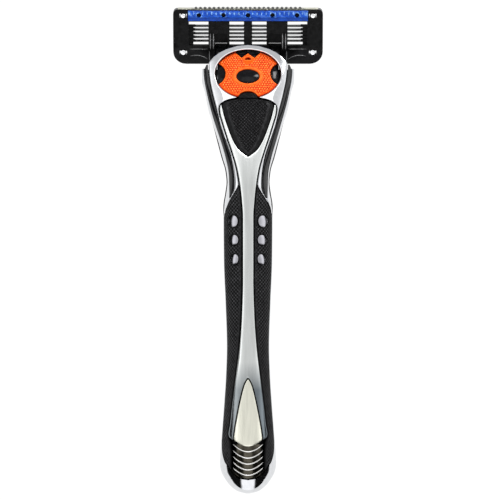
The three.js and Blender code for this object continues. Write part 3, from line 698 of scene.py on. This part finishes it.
def tongue_height(x, y):
    """The tongue lies a little under the skin and falls away at its sides."""
    return top_height(x, y) - 0.25 - 0.035 * np.asarray(x) ** 2


def tongue_painted_shade(x, y, d):
    """Painted shade: darker towards the sides, where the tongue falls away, and towards the end.
    """
    return 0.5 * unit((3.7 - np.abs(x)) / 0.7) * unit((y + 64.2) / 0.3)


tongue = slab("tail_tongue", banner(TONGUE_EDGE), bronze, "handle", tongue_height,
              step=0.35, edge=0.25, tone=tongue_painted_shade)
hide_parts("tail_ribs")


def rib_bars():
    """Bright arcs across the tongue, thinning at their ends."""
    cols, ring, bow = 48, 12, 0.115
    points, faces = [], []
    for centre in (-56.2, -58.0, -59.7, -61.35, -62.9):
        half = min(4.3, float(along(TONGUE_EDGE, centre + 1.6)) - 0.1)
        start = len(points)
        for i in range(cols + 1):
            u = 2 * i / cols - 1
            x = half * u
            y = centre + bow * x * x
            taper = max(0.0, 1 - abs(u) ** 10) ** 0.5
            z = float(tongue_height(x, y)) + 0.02
            for j in range(ring):
                a = 2 * pi * j / ring
                points.append((x, y + 0.2 * taper * cos(a), z + 0.26 * taper * sin(a)))
        faces += grid_faces(cols + 1, ring, start, wrap=True)
    make("tail_rib_bars", points, faces, rib_metal, "handle", 80)


rib_bars()

for side, name in SIDES:
    ys = np.arange(14.6, 52.01, 0.35)
    outer_edge, inner_edge = edge_line(INLAY_OUTER, ys), edge_line(INLAY_INNER, ys)
    outline = [(side * x, y) for x, y in outer_edge + inner_edge[::-1]]
    inlay = slab(f"side_inlay_strip_{name}", outline, inlay_gloss, "handle",
                 top_height, step=0.35, edge=0.12)
    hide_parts(f"side_inlay_{name}")

# ---- grips
GRIP_RIM = 0.3
GRIP_LOW, GRIP_HIGH = -61.4, 18.0
GRIP_ARCH, GRIP_HEEL = 10.4, -53.5  # where GRIP_TOP and GRIP_FOOT take over from the sides
BUMPS = [(4.15, 8.0, 1.42, 1.62), (3.9, 2.8, 1.27, 1.42), (3.75, -2.6, 1.12, 1.45)]
GRIP_INNER = [
    (-61.4, 4.95), (-59, 4.95), (-54.1, 5.2), (-52.6, 5.6), (-51.5, 5.8), (-48.6, 5.35),
    (-44, 4.85), (-35.2, 3.75), (-26.3, 2.7), (-17.3, 2.1), (-8.4, 1.85), (9.5, 1.85),
    (13.4, 2.1), (18, 2.55),
]
GRIP_FOOT = [(-61.4, 4.98), (-61.1, 5.1), (-59.1, 6.4), (-56.3, 7.15), (-53.5, 7.3)]


def grip_limit(rows):
    """Outer edge of the rubber in plan."""
    limit = along(HALF_WIDTH, rows) - GRIP_RIM
    limit = np.where(rows > GRIP_ARCH, np.minimum(along(GRIP_TOP, rows), limit), limit)
    return np.where(rows < GRIP_HEEL, np.minimum(along(GRIP_FOOT, rows), limit), limit)


def grip(side, name):
    """Knurled rubber skin with a rounded rim and a socket round each stud."""
    rows = np.concatenate([np.arange(GRIP_LOW, GRIP_HIGH, 0.14), [GRIP_HIGH]])
    cols, depth, edge, pitch = 74, 0.9, 0.22, 1.05
    inner_x = along(GRIP_INNER, rows)
    outer_x = np.maximum(grip_limit(rows), inner_x + 0.03)
    high, low = angle_at(inner_x, rows), angle_at(outer_x, rows)
    t = np.linspace(0, 1, cols)
    angle = high[:, None] + (low - high)[:, None] * t
    y = np.repeat(rows[:, None], cols, 1)
    x, z = section(y, angle)
    dx, dz = np.gradient(x, axis=1), np.gradient(z, axis=1)
    run = np.concatenate([np.zeros((len(rows), 1)),
                          np.cumsum(np.hypot(np.diff(x, axis=1), np.diff(z, axis=1)), axis=1)], 1)
    rim = np.minimum(run, run[:, -1:] - run)
    ends = np.minimum((GRIP_HIGH - y) * 0.6, (y - GRIP_LOW) * 0.6)
    rim = np.minimum(rim, np.maximum(ends, 0))
    u, v = run / pitch, y / pitch
    lump = np.abs(np.cos(pi * (u + v)) * np.cos(pi * (u - v)))
    texture = -0.2 * unit(lump * 1.6 - 0.5)
    reaches = [np.sqrt(((x - bx) / (rx + 0.1)) ** 2 + ((y - by) / (ry + 0.1)) ** 2)
               for bx, by, rx, ry in BUMPS]
    fade = unit((rim - 0.45) / 0.2)
    for reach in reaches:
        fade = fade * unit((reach - 1.12) / 0.12)
    drop = np.where(rim < edge, edge - np.sqrt(np.maximum(edge**2 - (edge - rim) ** 2, 0)), 0)
    out = fade * texture - drop - 0.02
    for reach in reaches:
        out = out - 0.65 * unit((1.08 - reach) / 0.1)
    # Painted light: painted shade in the dimples of the knurling, a plain tone outside it, and a
    # painted highlight band just inside the rim.
    tone = np.where(fade > 0.3, unit(1.0 - 1.9 * lump), 0.44)
    tone = np.where((rim > 0.22) & (rim < 0.5), 0.6, tone)
    size = np.maximum(np.hypot(dx, dz), 1e-9)
    nx, nz = -dz / size, dx / size
    flip = np.where(nx < 0, -1, 1)
    nx, nz = nx * flip, nz * flip
    face = np.stack([x + nx * out, y, z + nz * out], 2)
    base = np.stack([x - nx * depth, y, z - nz * depth], 2)
    back = base[:, [0, cols // 3, 2 * cols // 3, cols - 1]]
    points = np.concatenate([face.reshape(-1, 3), back.reshape(-1, 3)])
    points[:, 0] *= side
    n, first = len(rows), len(rows) * cols
    faces = grid_faces(n, cols) + grid_faces(n, 4, first)
    for r in range(n - 1):
        faces.append((r * cols, (r + 1) * cols, first + (r + 1) * 4, first + r * 4))
        faces.append((r * cols + cols - 1, (r + 1) * cols + cols - 1, first + r * 4 + 7,
                      first + r * 4 + 3))
    for r in (0, n - 1):
        faces.append([r * cols + c for c in range(cols)]
                     + [first + r * 4 + c for c in (3, 2, 1, 0)])
    obj = make(f"grip_rubber_{name}", points, faces, knurl, "handle", 50,
               tone.reshape(-1))
    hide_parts(f"grip_{name}")


def bump_stud(side, name, k):
    """Low oval dome, tilted with the skin under it."""
    bx, by, rx, ry = BUMPS[k]
    rings, sides, turn = 18, 40, 0.28
    points = []
    slope = (float(top_height(bx + 0.1, by)) - float(top_height(bx - 0.1, by))) / 0.2
    tilt = atan(slope) - radians(0 if side < 0 else 1)
    level = float(top_height(bx, by)) - 0.12
    for i in range(rings + 1):
        lat = pi / 2 * (1 - 1.35 * i / rings)
        for j in range(sides):
            a = 2 * pi * j / sides
            lx, ly = rx * cos(lat) * cos(a), ry * cos(lat) * sin(a)
            lz = 0.2 * sin(lat) ** 2 if lat > 0 else 0.9 * sin(lat)
            px = lx * cos(turn) - ly * sin(turn)
            py = lx * sin(turn) + ly * cos(turn)
            points.append((side * (bx + px * cos(tilt) - lz * sin(tilt)), by + py,
                           level - 0.06 + px * sin(tilt) + lz * cos(tilt)))
    faces = grid_faces(rings + 1, sides, wrap=True)
    faces.append(list(range(rings * sides, (rings + 1) * sides)))
    obj = make(f"grip_stud_{name}_{k + 1}", points, faces, stud_chrome, "handle")
    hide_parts(f"grip_bump_{name}_{k + 1}")


for side, name in SIDES:
    grip(side, name)
    for k in range(len(BUMPS)):
        bump_stud(side, name, k)

# ---- back and sides
# The shell closes over the top below RIM_CLOSED. Its edge follows the grips above TAIL_END.
RIM_CLOSED, TAIL_END = -64.3, -61.0
BEAD_LOW, BEAD_HIGH = 9.0, 36.0


def rear_shell():
    """Chrome back and sides: rows of section arcs from rim to rim, closed over the tail."""
    tail = np.concatenate([np.linspace(0, 1, 22)[:-1] ** 2 * 1.6 + LOWEST,
                           np.arange(LOWEST + 1.6, TAIL_END, 0.12)])
    rows = np.unique(np.concatenate([tail, np.arange(TAIL_END, HEAD_END, 0.45), [HEAD_END]]))
    cols = 120
    start = np.where(rows <= RIM_CLOSED, pi / 2, angle_at(along(RIM_EDGE, rows), rows))
    grown = angle_at(grip_limit(rows), rows) - 0.05
    start = np.where((rows > TAIL_END) & (rows < GRIP_ARCH), grown, start)
    t = np.linspace(0, 1, cols)
    angle = start[:, None] + (-pi - 2 * start)[:, None] * t
    y = np.repeat(rows[:, None], cols, 1)
    # The under side of the open end slants back, clear of the bracket.
    mouth = unit((y - 46.6) / 4.0) * unit(-1.6 * np.sin(angle))
    y = y - 1.7 * mouth
    x, z = section(y, angle)
    z = np.maximum(z, 0.0)
    # Groove for the side bead.
    sunk = unit(np.minimum((y - BEAD_LOW) / 3, (BEAD_HIGH - y) / 6))
    sunk = sunk * unit((start[:, None] - angle) / 0.4)
    x = x - np.sign(x) * 0.26 * sunk
    # The inner skin: thinner at the open end, drawn to a point at the tail.
    xi, zi = section(y, angle, SKIN - 0.85 * unit((y - 45.5) / 2.5))
    pole = rows < -67.2
    xi[pole] = x[pole] * 0.02
    zi[pole] = 5.5
    outer = np.stack([x, y, z], 2)
    inner = np.stack([xi, y + np.where(y < -67, 1.1, 0), zi], 2)
    n = len(rows)
    points = np.concatenate([outer.reshape(-1, 3), inner.reshape(-1, 3)])
    first = n * cols
    faces = grid_faces(n, cols) + [f[::-1] for f in grid_faces(n, cols, first)]
    for r in range(n - 1):
        if rows[r + 1] > RIM_CLOSED:
            for c in (0, cols - 1):
                a, b = r * cols + c, (r + 1) * cols + c
                faces.append((a, b, first + b, first + a))
    last = (n - 1) * cols
    for c in range(cols - 1):
        faces.append((last + c, last + c + 1, first + last + c + 1, first + last + c))
    return make("rear_shell_chrome", points, faces, chrome, "handle", 45)


shell = rear_shell()
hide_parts("rear_shell")


def side_shade_bead(side, name):
    """Rubber bead let into the shell at its widest line, beside the neck, whose dark line along
    the edge also stands for painted shade under that edge.
    """
    ys = np.linspace(BEAD_LOW, BEAD_HIGH, 90)
    points, ring = [], 10
    for y in ys:
        fade = min(1.0, (y - BEAD_LOW) / 2.5, (BEAD_HIGH - y) / 6.0)
        r = 0.04 + 0.24 * max(0.0, fade) ** 0.5
        cx, cz = float(along(HALF_WIDTH, y)) - r, float(along(WAIST, y)) - 0.3
        points += [(side * (cx + r * cos(a)), y, cz + 1.6 * r * sin(a))
                   for a in np.linspace(0, 2 * pi, ring, endpoint=False)]
    make(f"side_shade_bead_{name}", points, tube_faces(len(ys), ring), rubber, "handle",
         60)


for side, name in SIDES:
    side_shade_bead(side, name)

REAR_EDGE = [(-48, 1.6), (-47, 3.0), (-40, 3.6), (-20, 3.2), (0, 3.4), (16, 3.3), (24, 2.6),
             (25, 1.4)]


def rear_relief(x, y, d):
    """Fine diamond knurling inside a plain border."""
    pitch = 0.9
    u, v = x / pitch, y / pitch
    lump = np.abs(np.cos(pi * (u + v))) * np.abs(np.cos(pi * (u - v)))
    return 0.12 + unit((d - 0.5) / 0.2) * 0.12 * unit(lump * 1.5 - 0.35)


rear_pad = slab("rear_grip_rubber", banner(REAR_EDGE), rubber, "handle",
                under_height, step=0.22, edge=0.25, relief=rear_relief, sign=-1, thickness=0.6)
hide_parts("rear_grip")

# ---- button
# In the dock frame: x across, y along the slide, z away from the floor.
BUTTON_S, BUTTON_X, BUTTON_R = -2.2, 9.08, 7.06  # centre and half axes of the cap
INSERT_S = BUTTON_S - 1.05
CAP_FLOOR = 2.95
BITES = ((-9.3, -2.18, 3.1, 3.3), (9.3, -2.18, 3.1, 3.3), (0.0, -9.63, 2.95, 2.15))
ARROW_BITE = len(BITES)
ARROW_EDGE = [(3.35, 4.15), (1.85, 2.5), (1.62, 2.62), (0.1, 3.85)]


def ellipse(cx, cy, rx, ry, count=72):
    return [(cx + rx * cos(a), cy + ry * sin(a))
            for a in np.linspace(0.0, 2 * pi, count, endpoint=False)]


def oval(x, y, cy, rx, ry):
    """1 on the edge of an oval centred on x = 0, less inside it."""
    return (x / rx) ** 2 + ((y - cy) / ry) ** 2


def cap_height(x, y):
    """Shallow dome of the cap."""
    return 3.35 + (4.45 - 3.35) * unit(1 - oval(x, y, BUTTON_S, BUTTON_X, BUTTON_R))


def insert_height(x, y):
    return 4.2 + 0.55 * unit(1 - (x / 3.2) ** 2 - ((y - INSERT_S) / 2.1) ** 2)


def cap_outline():
    """Disc edge with bites taken out: two side lenses, the foot and the arrow notch."""
    disc = np.array(ellipse(0, BUTTON_S, BUTTON_X, BUTTON_R, 720))
    x, y = disc[:, 0], disc[:, 1]
    n = len(disc)
    kinds = np.full(n, -1)
    for k, (cx, cy, rx, ry) in enumerate(BITES):
        kinds[((x - cx) / rx) ** 2 + ((y - cy) / ry) ** 2 < 1] = k
    kinds[(np.abs(x) < 3.4) & (y > 0)] = ARROW_BITE
    start = next(i for i in range(n) if kinds[i] == -1 and kinds[i - 1] != -1)
    out, i = [], 0
    while i < n:
        j = (start + i) % n
        if kinds[j] == -1:
            out.append(tuple(disc[j]))
            i += 1
            continue
        run = 0
        while kinds[(start + i + run) % n] == kinds[j] and i + run < n:
            run += 1
        out += bite(kinds[j], disc[(start + i - 1) % n], disc[(start + i + run) % n])
        i += run
    return out


def bite(kind, a, b):
    """Points round one bite, from disc point a to disc point b."""
    if kind == ARROW_BITE:
        return ARROW_EDGE + mirrored(ARROW_EDGE)
    cx, cy, rx, ry = BITES[kind]
    a0 = atan2((a[1] - cy) / ry, (a[0] - cx) / rx)
    a1 = atan2((b[1] - cy) / ry, (b[0] - cx) / rx)
    while a1 > a0:
        a1 -= 2 * pi
    return [(cx + rx * cos(t), cy + ry * sin(t)) for t in np.linspace(a0, a1, 40)[1:-1]]


def cap_parts(x, y, d):
    """Textured field, its pimples, and the raised lip round the insert."""
    pitch = 0.72
    u, v = x / pitch, y / pitch
    row = np.round(v / ROW_PITCH)
    cx = np.round(u - 0.5 * (row % 2)) + 0.5 * (row % 2)
    r = np.hypot(u - cx, v - row * ROW_PITCH)
    pimple = unit(1 - (r / 0.44) ** 2)
    ring = np.sqrt(oval(x, y, INSERT_S, 3.3, 2.2))
    crown = unit(1 - (np.hypot(x, y - 1.9) - 1.5) / 0.2)
    field = unit((ring - 1.32) / 0.08) * unit((d - 0.45) / 0.15) * (1 - crown)
    return field, pimple, np.exp(-(((ring - 1.14) / 0.12) ** 2))


def cap_relief(x, y, d):
    field, pimple, lip = cap_parts(x, y, d)
    return field * 0.17 * pimple + 0.22 * lip


def cap_painted_light(x, y, d):
    """Painted light: lighter pimples with painted shade between them, a painted highlight on the
    lip, painted shade on the outer rim and lighter edges round the bites and holes.
    """
    field, pimple, lip = cap_parts(x, y, d)
    edge = np.where(oval(x, y, BUTTON_S, BUTTON_X, BUTTON_R) > 0.93, 0.25, 0.66)
    tone = 0.5 + field * (1.25 * pimple - 0.5) + 0.2 * lip
    return unit(np.where(d < 0.3, edge, tone))


PEEP = [(cos(a), 1.85 + 0.85 * sin(a)) for a in np.linspace(0, pi, 20)]
cap = slab("button_cap_disc", cap_outline(), orange, "button", cap_height,
           holes=[ellipse(0, INSERT_S, 3.25, 2.12), PEEP], step=0.13, edge=0.2,
           relief=cap_relief, floor_level=CAP_FLOOR, frame_map=docked, tone=cap_painted_light)
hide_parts("button_cap")

insert = slab("button_insert_oval", ellipse(0, INSERT_S, 3.18, 2.05), gloss, "button",
              insert_height, step=0.2, edge=0.15, floor_level=CAP_FLOOR,
              frame_map=docked)
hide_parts("button_insert")
finish(["button_base"], gloss, 0.05)

# ---- cartridge details
# In the cartridge frame: x across, u from guard to cap, w away from the skin.
HOLE_PITCH, HOLE_U = 6.87, 8.75
CARRIER_FLOOR, CARRIER_STEP = 3.5, 8.12


def carrier_parts(x, u):
    """Face height, moulded ticks and the rims of the five holes."""
    tick_pitch = 1.27
    face = np.where(u < CARRIER_STEP, 3.72 + 0.2 * (u - 7.05), 4.2 - 0.08 * (u - 8.15))
    tick_x = (x / tick_pitch + 0.5) % 1 - 0.5
    tick = unit(1 - (np.abs(tick_x * tick_pitch) + 0.45 * np.abs(u - 9.25)) / 0.27)
    tick = tick * ~(u < CARRIER_STEP)
    ring = np.full_like(x, 9.0)
    for k in range(-2, 3):
        ring = np.minimum(ring, np.hypot(x - HOLE_PITCH * k, u - HOLE_U))
    return face, unit(tick * 3), np.exp(-(((ring - 0.8) / 0.13) ** 2))


def carrier_relief(x, u, d):
    face, tick, ring = carrier_parts(x, u)
    return face - CARRIER_FLOOR + 0.14 * tick + 0.12 * ring


def carrier_painted_light_and_step(x, u, d):
    """Painted light: soft waves of painted highlight and shade, painted highlights on the ticks
    and hole rims, lighter upper corners; a darker step along the foot.
    """
    _, tick, ring = carrier_parts(x, u)
    wave = 0.06 * np.sin(1.9 * x + 2.2 * np.sin(0.8 * x) + 3 * u)
    corner = 0.12 * unit((np.abs(x) - 15.4) / 0.5) * (u > 8.6)
    tone = np.where(u < CARRIER_STEP, 0.33, 0.47 + 1.6 * wave + corner)
    return unit(tone + 0.4 * tick + 0.24 * ring)


carrier = slab("trimmer_carrier_bar", [(-16.8, 7.05), (16.8, 7.05), (16.8, 10.0), (-16.8, 10.0)],
               blue, "cartridge", lambda x, u: np.full_like(x, CARRIER_FLOOR),
               holes=[ellipse(HOLE_PITCH * k, HOLE_U, 0.6, 0.6, 32) for k in range(-2, 3)],
               step=0.16, edge=0.14, relief=carrier_relief, floor_level=CARRIER_FLOOR,
               frame_map=headed, tone=carrier_painted_light_and_step)
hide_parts("trimmer_carrier")


def brick(name, low, high, bevel, mat, body, frame_map):
    """Small moulded block with rounded edges, given in a tilted frame."""
    bm = bmesh.new()
    bmesh.ops.create_cube(bm, size=1.0)
    for v in bm.verts:
        v.co = Vector([low[i] + (high[i] - low[i]) * (v.co[i] + 0.5) for i in range(3)])
    bmesh.ops.bevel(bm, geom=bm.edges[:], offset=bevel, segments=3, profile=0.5,
                    affect="EDGES")
    bm.verts.index_update()
    points = frame_map(np.array([v.co[:] for v in bm.verts]))
    faces = [tuple(v.index for v in f.verts) for f in bm.faces]
    bm.free()
    make(name, points, faces, mat, body, 50)


def ridge(name, path, radius):
    """Round ridge moulded in the housing, swept along a path and thinning to its ends, in a
    material lighter than the housing as a painted highlight.
    """
    path, sides = np.asarray(path, float), 10
    fine = []
    for a, b in zip(path[:-1], path[1:]):
        fine += [a + (b - a) * t for t in np.linspace(0, 1, 8, endpoint=False)]
    fine = np.array(fine + [path[-1]])
    for _ in range(3):
        fine[1:-1] = (fine[:-2] + 2 * fine[1:-1] + fine[2:]) / 4
    points, n = [], len(fine)
    for k, p in enumerate(fine):
        t = fine[min(k + 1, n - 1)] - fine[max(k - 1, 0)]
        t /= np.linalg.norm(t)
        side = np.cross(t, (0, 0, 1.0))
        side /= np.linalg.norm(side)
        up = np.cross(side, t)
        r = radius * (0.3 + 0.7 * min(1.0, 4 * k / n, 4 * (n - 1 - k) / n))
        points += [p + r * (cos(a) * side + sin(a) * up)
                   for a in np.linspace(0, 2 * pi, sides, endpoint=False)]
    make(name, headed(np.array(points)), tube_faces(n, sides), ridge_painted_highlight, "cartridge",
         60)


def slope_w(u):
    """Height of the housing back, which falls away towards the guard."""
    return 3.2 if u > -0.1 else 3.2 + 0.5 * (u + 0.1)


brick("glide_edge", (-19.7, 10.14, -0.95), (19.7, 10.3, 2.3), 0.07, edge_olive, "cartridge",
      headed)
for side, name in SIDES:
    for k, x in enumerate((9.7, 10.55)):
        path = [(side * x, u, slope_w(u) - 0.02) for u in (3.5, 2.2, 1.0, -0.1, -1.0)]
        ridge(f"arm_ridge_{name}_{k + 1}", path, 0.17)
    path = [(side * 10.85, u, slope_w(u)) for u in (-1.6, -2.6, -3.6, -4.5)]
    ridge(f"guard_ridge_{name}", path, 0.13)
    path = [(side * x, u, slope_w(u)) for x, u in
            ((16.2, -3.1), (15.2, -2.85), (13.8, -2.85), (12.4, -3.3), (11.3, -4.1))]
    ridge(f"guard_arc_{name}", path, 0.12)
    path = [(side * x, -0.95, slope_w(-0.95)) for x in (16.4, 14.5, 12.8, 11.3)]
    ridge(f"guard_step_{name}", path, 0.09)
    low, high = sorted((side * 8.72, side * 9.8))
    brick(f"dock_cheek_{name}", (low, -0.6, -1.0), (high, 2.3, 1.9), 0.15, dock_black, "handle",
          docked)

# ---- stage
def add_floor():
    """Plain white floor just under the part."""
    mesh = bpy.data.meshes.new("floor")
    size, z = 60.0, -0.0002
    mesh.from_pydata([(-size, -size, z), (size, -size, z), (size, size, z), (-size, size, z)],
                     [], [(0, 1, 2, 3)])
    floor = add_object("floor", mesh)
    mat = bpy.data.materials.new("floor")
    mat.use_nodes = True
    set_inputs(mat.node_tree.nodes["Principled BSDF"], Base_Color=(0.05, 0.05, 0.05, 1),
               Emission_Color=(1, 1, 1, 1), Emission_Strength=1.0, Roughness=0.9,
               Specular_IOR_Level=0.1)
    mesh.materials.append(mat)


def area_light(name, place, size, energy, glossy=True, aim=(0, 0, 0.01), spread=180):
    """Rectangular lamp aimed at a point, hidden from the camera."""
    data = bpy.data.lights.new(name, "AREA")
    data.shape = "RECTANGLE"
    data.size, data.size_y = size
    data.energy = energy
    data.spread = radians(spread)
    lamp = add_object(name, data)
    lamp.location = place
    lamp.rotation_euler = (Vector(aim) - Vector(place)).to_track_quat("-Z", "Y").to_euler()
    lamp.visible_glossy = glossy
    lamp.visible_camera = False


# Brightness of the sky against the cosine from the zenith, which is leaned a little to +X.
ZENITH = (0.11, 0.0, 0.994)
SKY = ((0.26, 0.012), (0.4, 1.6), (0.6, 1.45), (0.8, 1.0), (0.93, 0.84), (1.0, 0.78))
FAR_PATCH, DARK_CARDS, TAIL_SOFTBOX = 0.7, 0.006, 1.35


def add_world():
    """Studio sky: a ramp from horizon to zenith, then a patch, two dark cards and a softbox."""
    world = bpy.data.worlds.new("studio")
    scene.world = world
    world.use_nodes = True
    tree = world.node_tree
    tree.nodes.clear()
    link, new = tree.links.new, tree.nodes.new
    out = new("ShaderNodeOutputWorld")
    back = new("ShaderNodeBackground")
    where = new("ShaderNodeTexCoord")
    split = new("ShaderNodeSeparateXYZ")
    link(where.outputs["Generated"], split.inputs["Vector"])
    overhead = new("ShaderNodeVectorMath")
    overhead.operation = "DOT_PRODUCT"
    overhead.inputs[1].default_value = ZENITH
    link(where.outputs["Generated"], overhead.inputs[0])
    ramp = new("ShaderNodeValToRGB")
    for k, (position, level) in enumerate(SKY):
        if k < 2:
            stop = ramp.color_ramp.elements[k]
            stop.position = position
        else:
            stop = ramp.color_ramp.elements.new(position)
        stop.color = (level, level, level * 1.01, 1)
    link(overhead.outputs["Value"], ramp.inputs["Fac"])

    def window(source, low, high):
        node = new("ShaderNodeMapRange")
        set_inputs(node, From_Min=low, From_Max=high)
        link(source, node.inputs["Value"])
        return node.outputs["Result"]

    def math_node(operation, *sources):
        node = new("ShaderNodeMath")
        node.operation = operation
        for k, source in enumerate(sources):
            link(source, node.inputs[k])
        return node.outputs["Value"]

    def blend(factor, first, level):
        node = new("ShaderNodeMix")
        node.data_type = "RGBA"
        set_inputs(node, B=(level, level, level * 1.02, 1))
        link(factor, node.inputs["Factor"])
        link(first, node.inputs["A"])
        return node.outputs["Result"]

    along_y = split.outputs["Y"]
    off_axis = math_node("ABSOLUTE", split.outputs["X"])
    softbox = math_node("MULTIPLY", window(along_y, -0.3, -0.45), window(off_axis, 0.42, 0.32))
    cards = math_node("MULTIPLY", window(along_y, -0.3, -0.42), window(off_axis, 0.3, 0.4))
    color = blend(window(along_y, 0.5, 0.58), ramp.outputs["Color"], FAR_PATCH)
    color = blend(cards, color, DARK_CARDS)
    color = blend(softbox, color, TAIL_SOFTBOX)
    link(color, back.inputs["Color"])
    link(back.outputs["Background"], out.inputs["Surface"])


def add_camera():
    """Camera straight above the middle of the razor."""
    height, half_width = 0.9, 0.0698
    camera = bpy.data.cameras.new("camera")
    camera.sensor_width = 36
    camera.lens = 18 * height / half_width
    camera.clip_start, camera.clip_end = 0.01, 100
    eye = add_object("camera", camera)
    eye.location = (0.00056, 0.0, height + 0.011)
    scene.camera = eye


add_floor()
area_light("key", (-0.55, 0.35, 0.6), (0.3, 0.3), energy=2.2, glossy=False)
area_light("overhead", (0, 0.14, 0.32), (0.24, 0.2), energy=0.17, aim=(0, 0.14, 0))
area_light("spark", (0.094, 0.182, 0.133), (0.045, 0.09), energy=0.009, aim=(0, 0.048, 0.016),
           spread=30)
add_world()
scene.view_settings.view_transform = "Standard"
scene.view_settings.exposure = 0.0
add_camera()
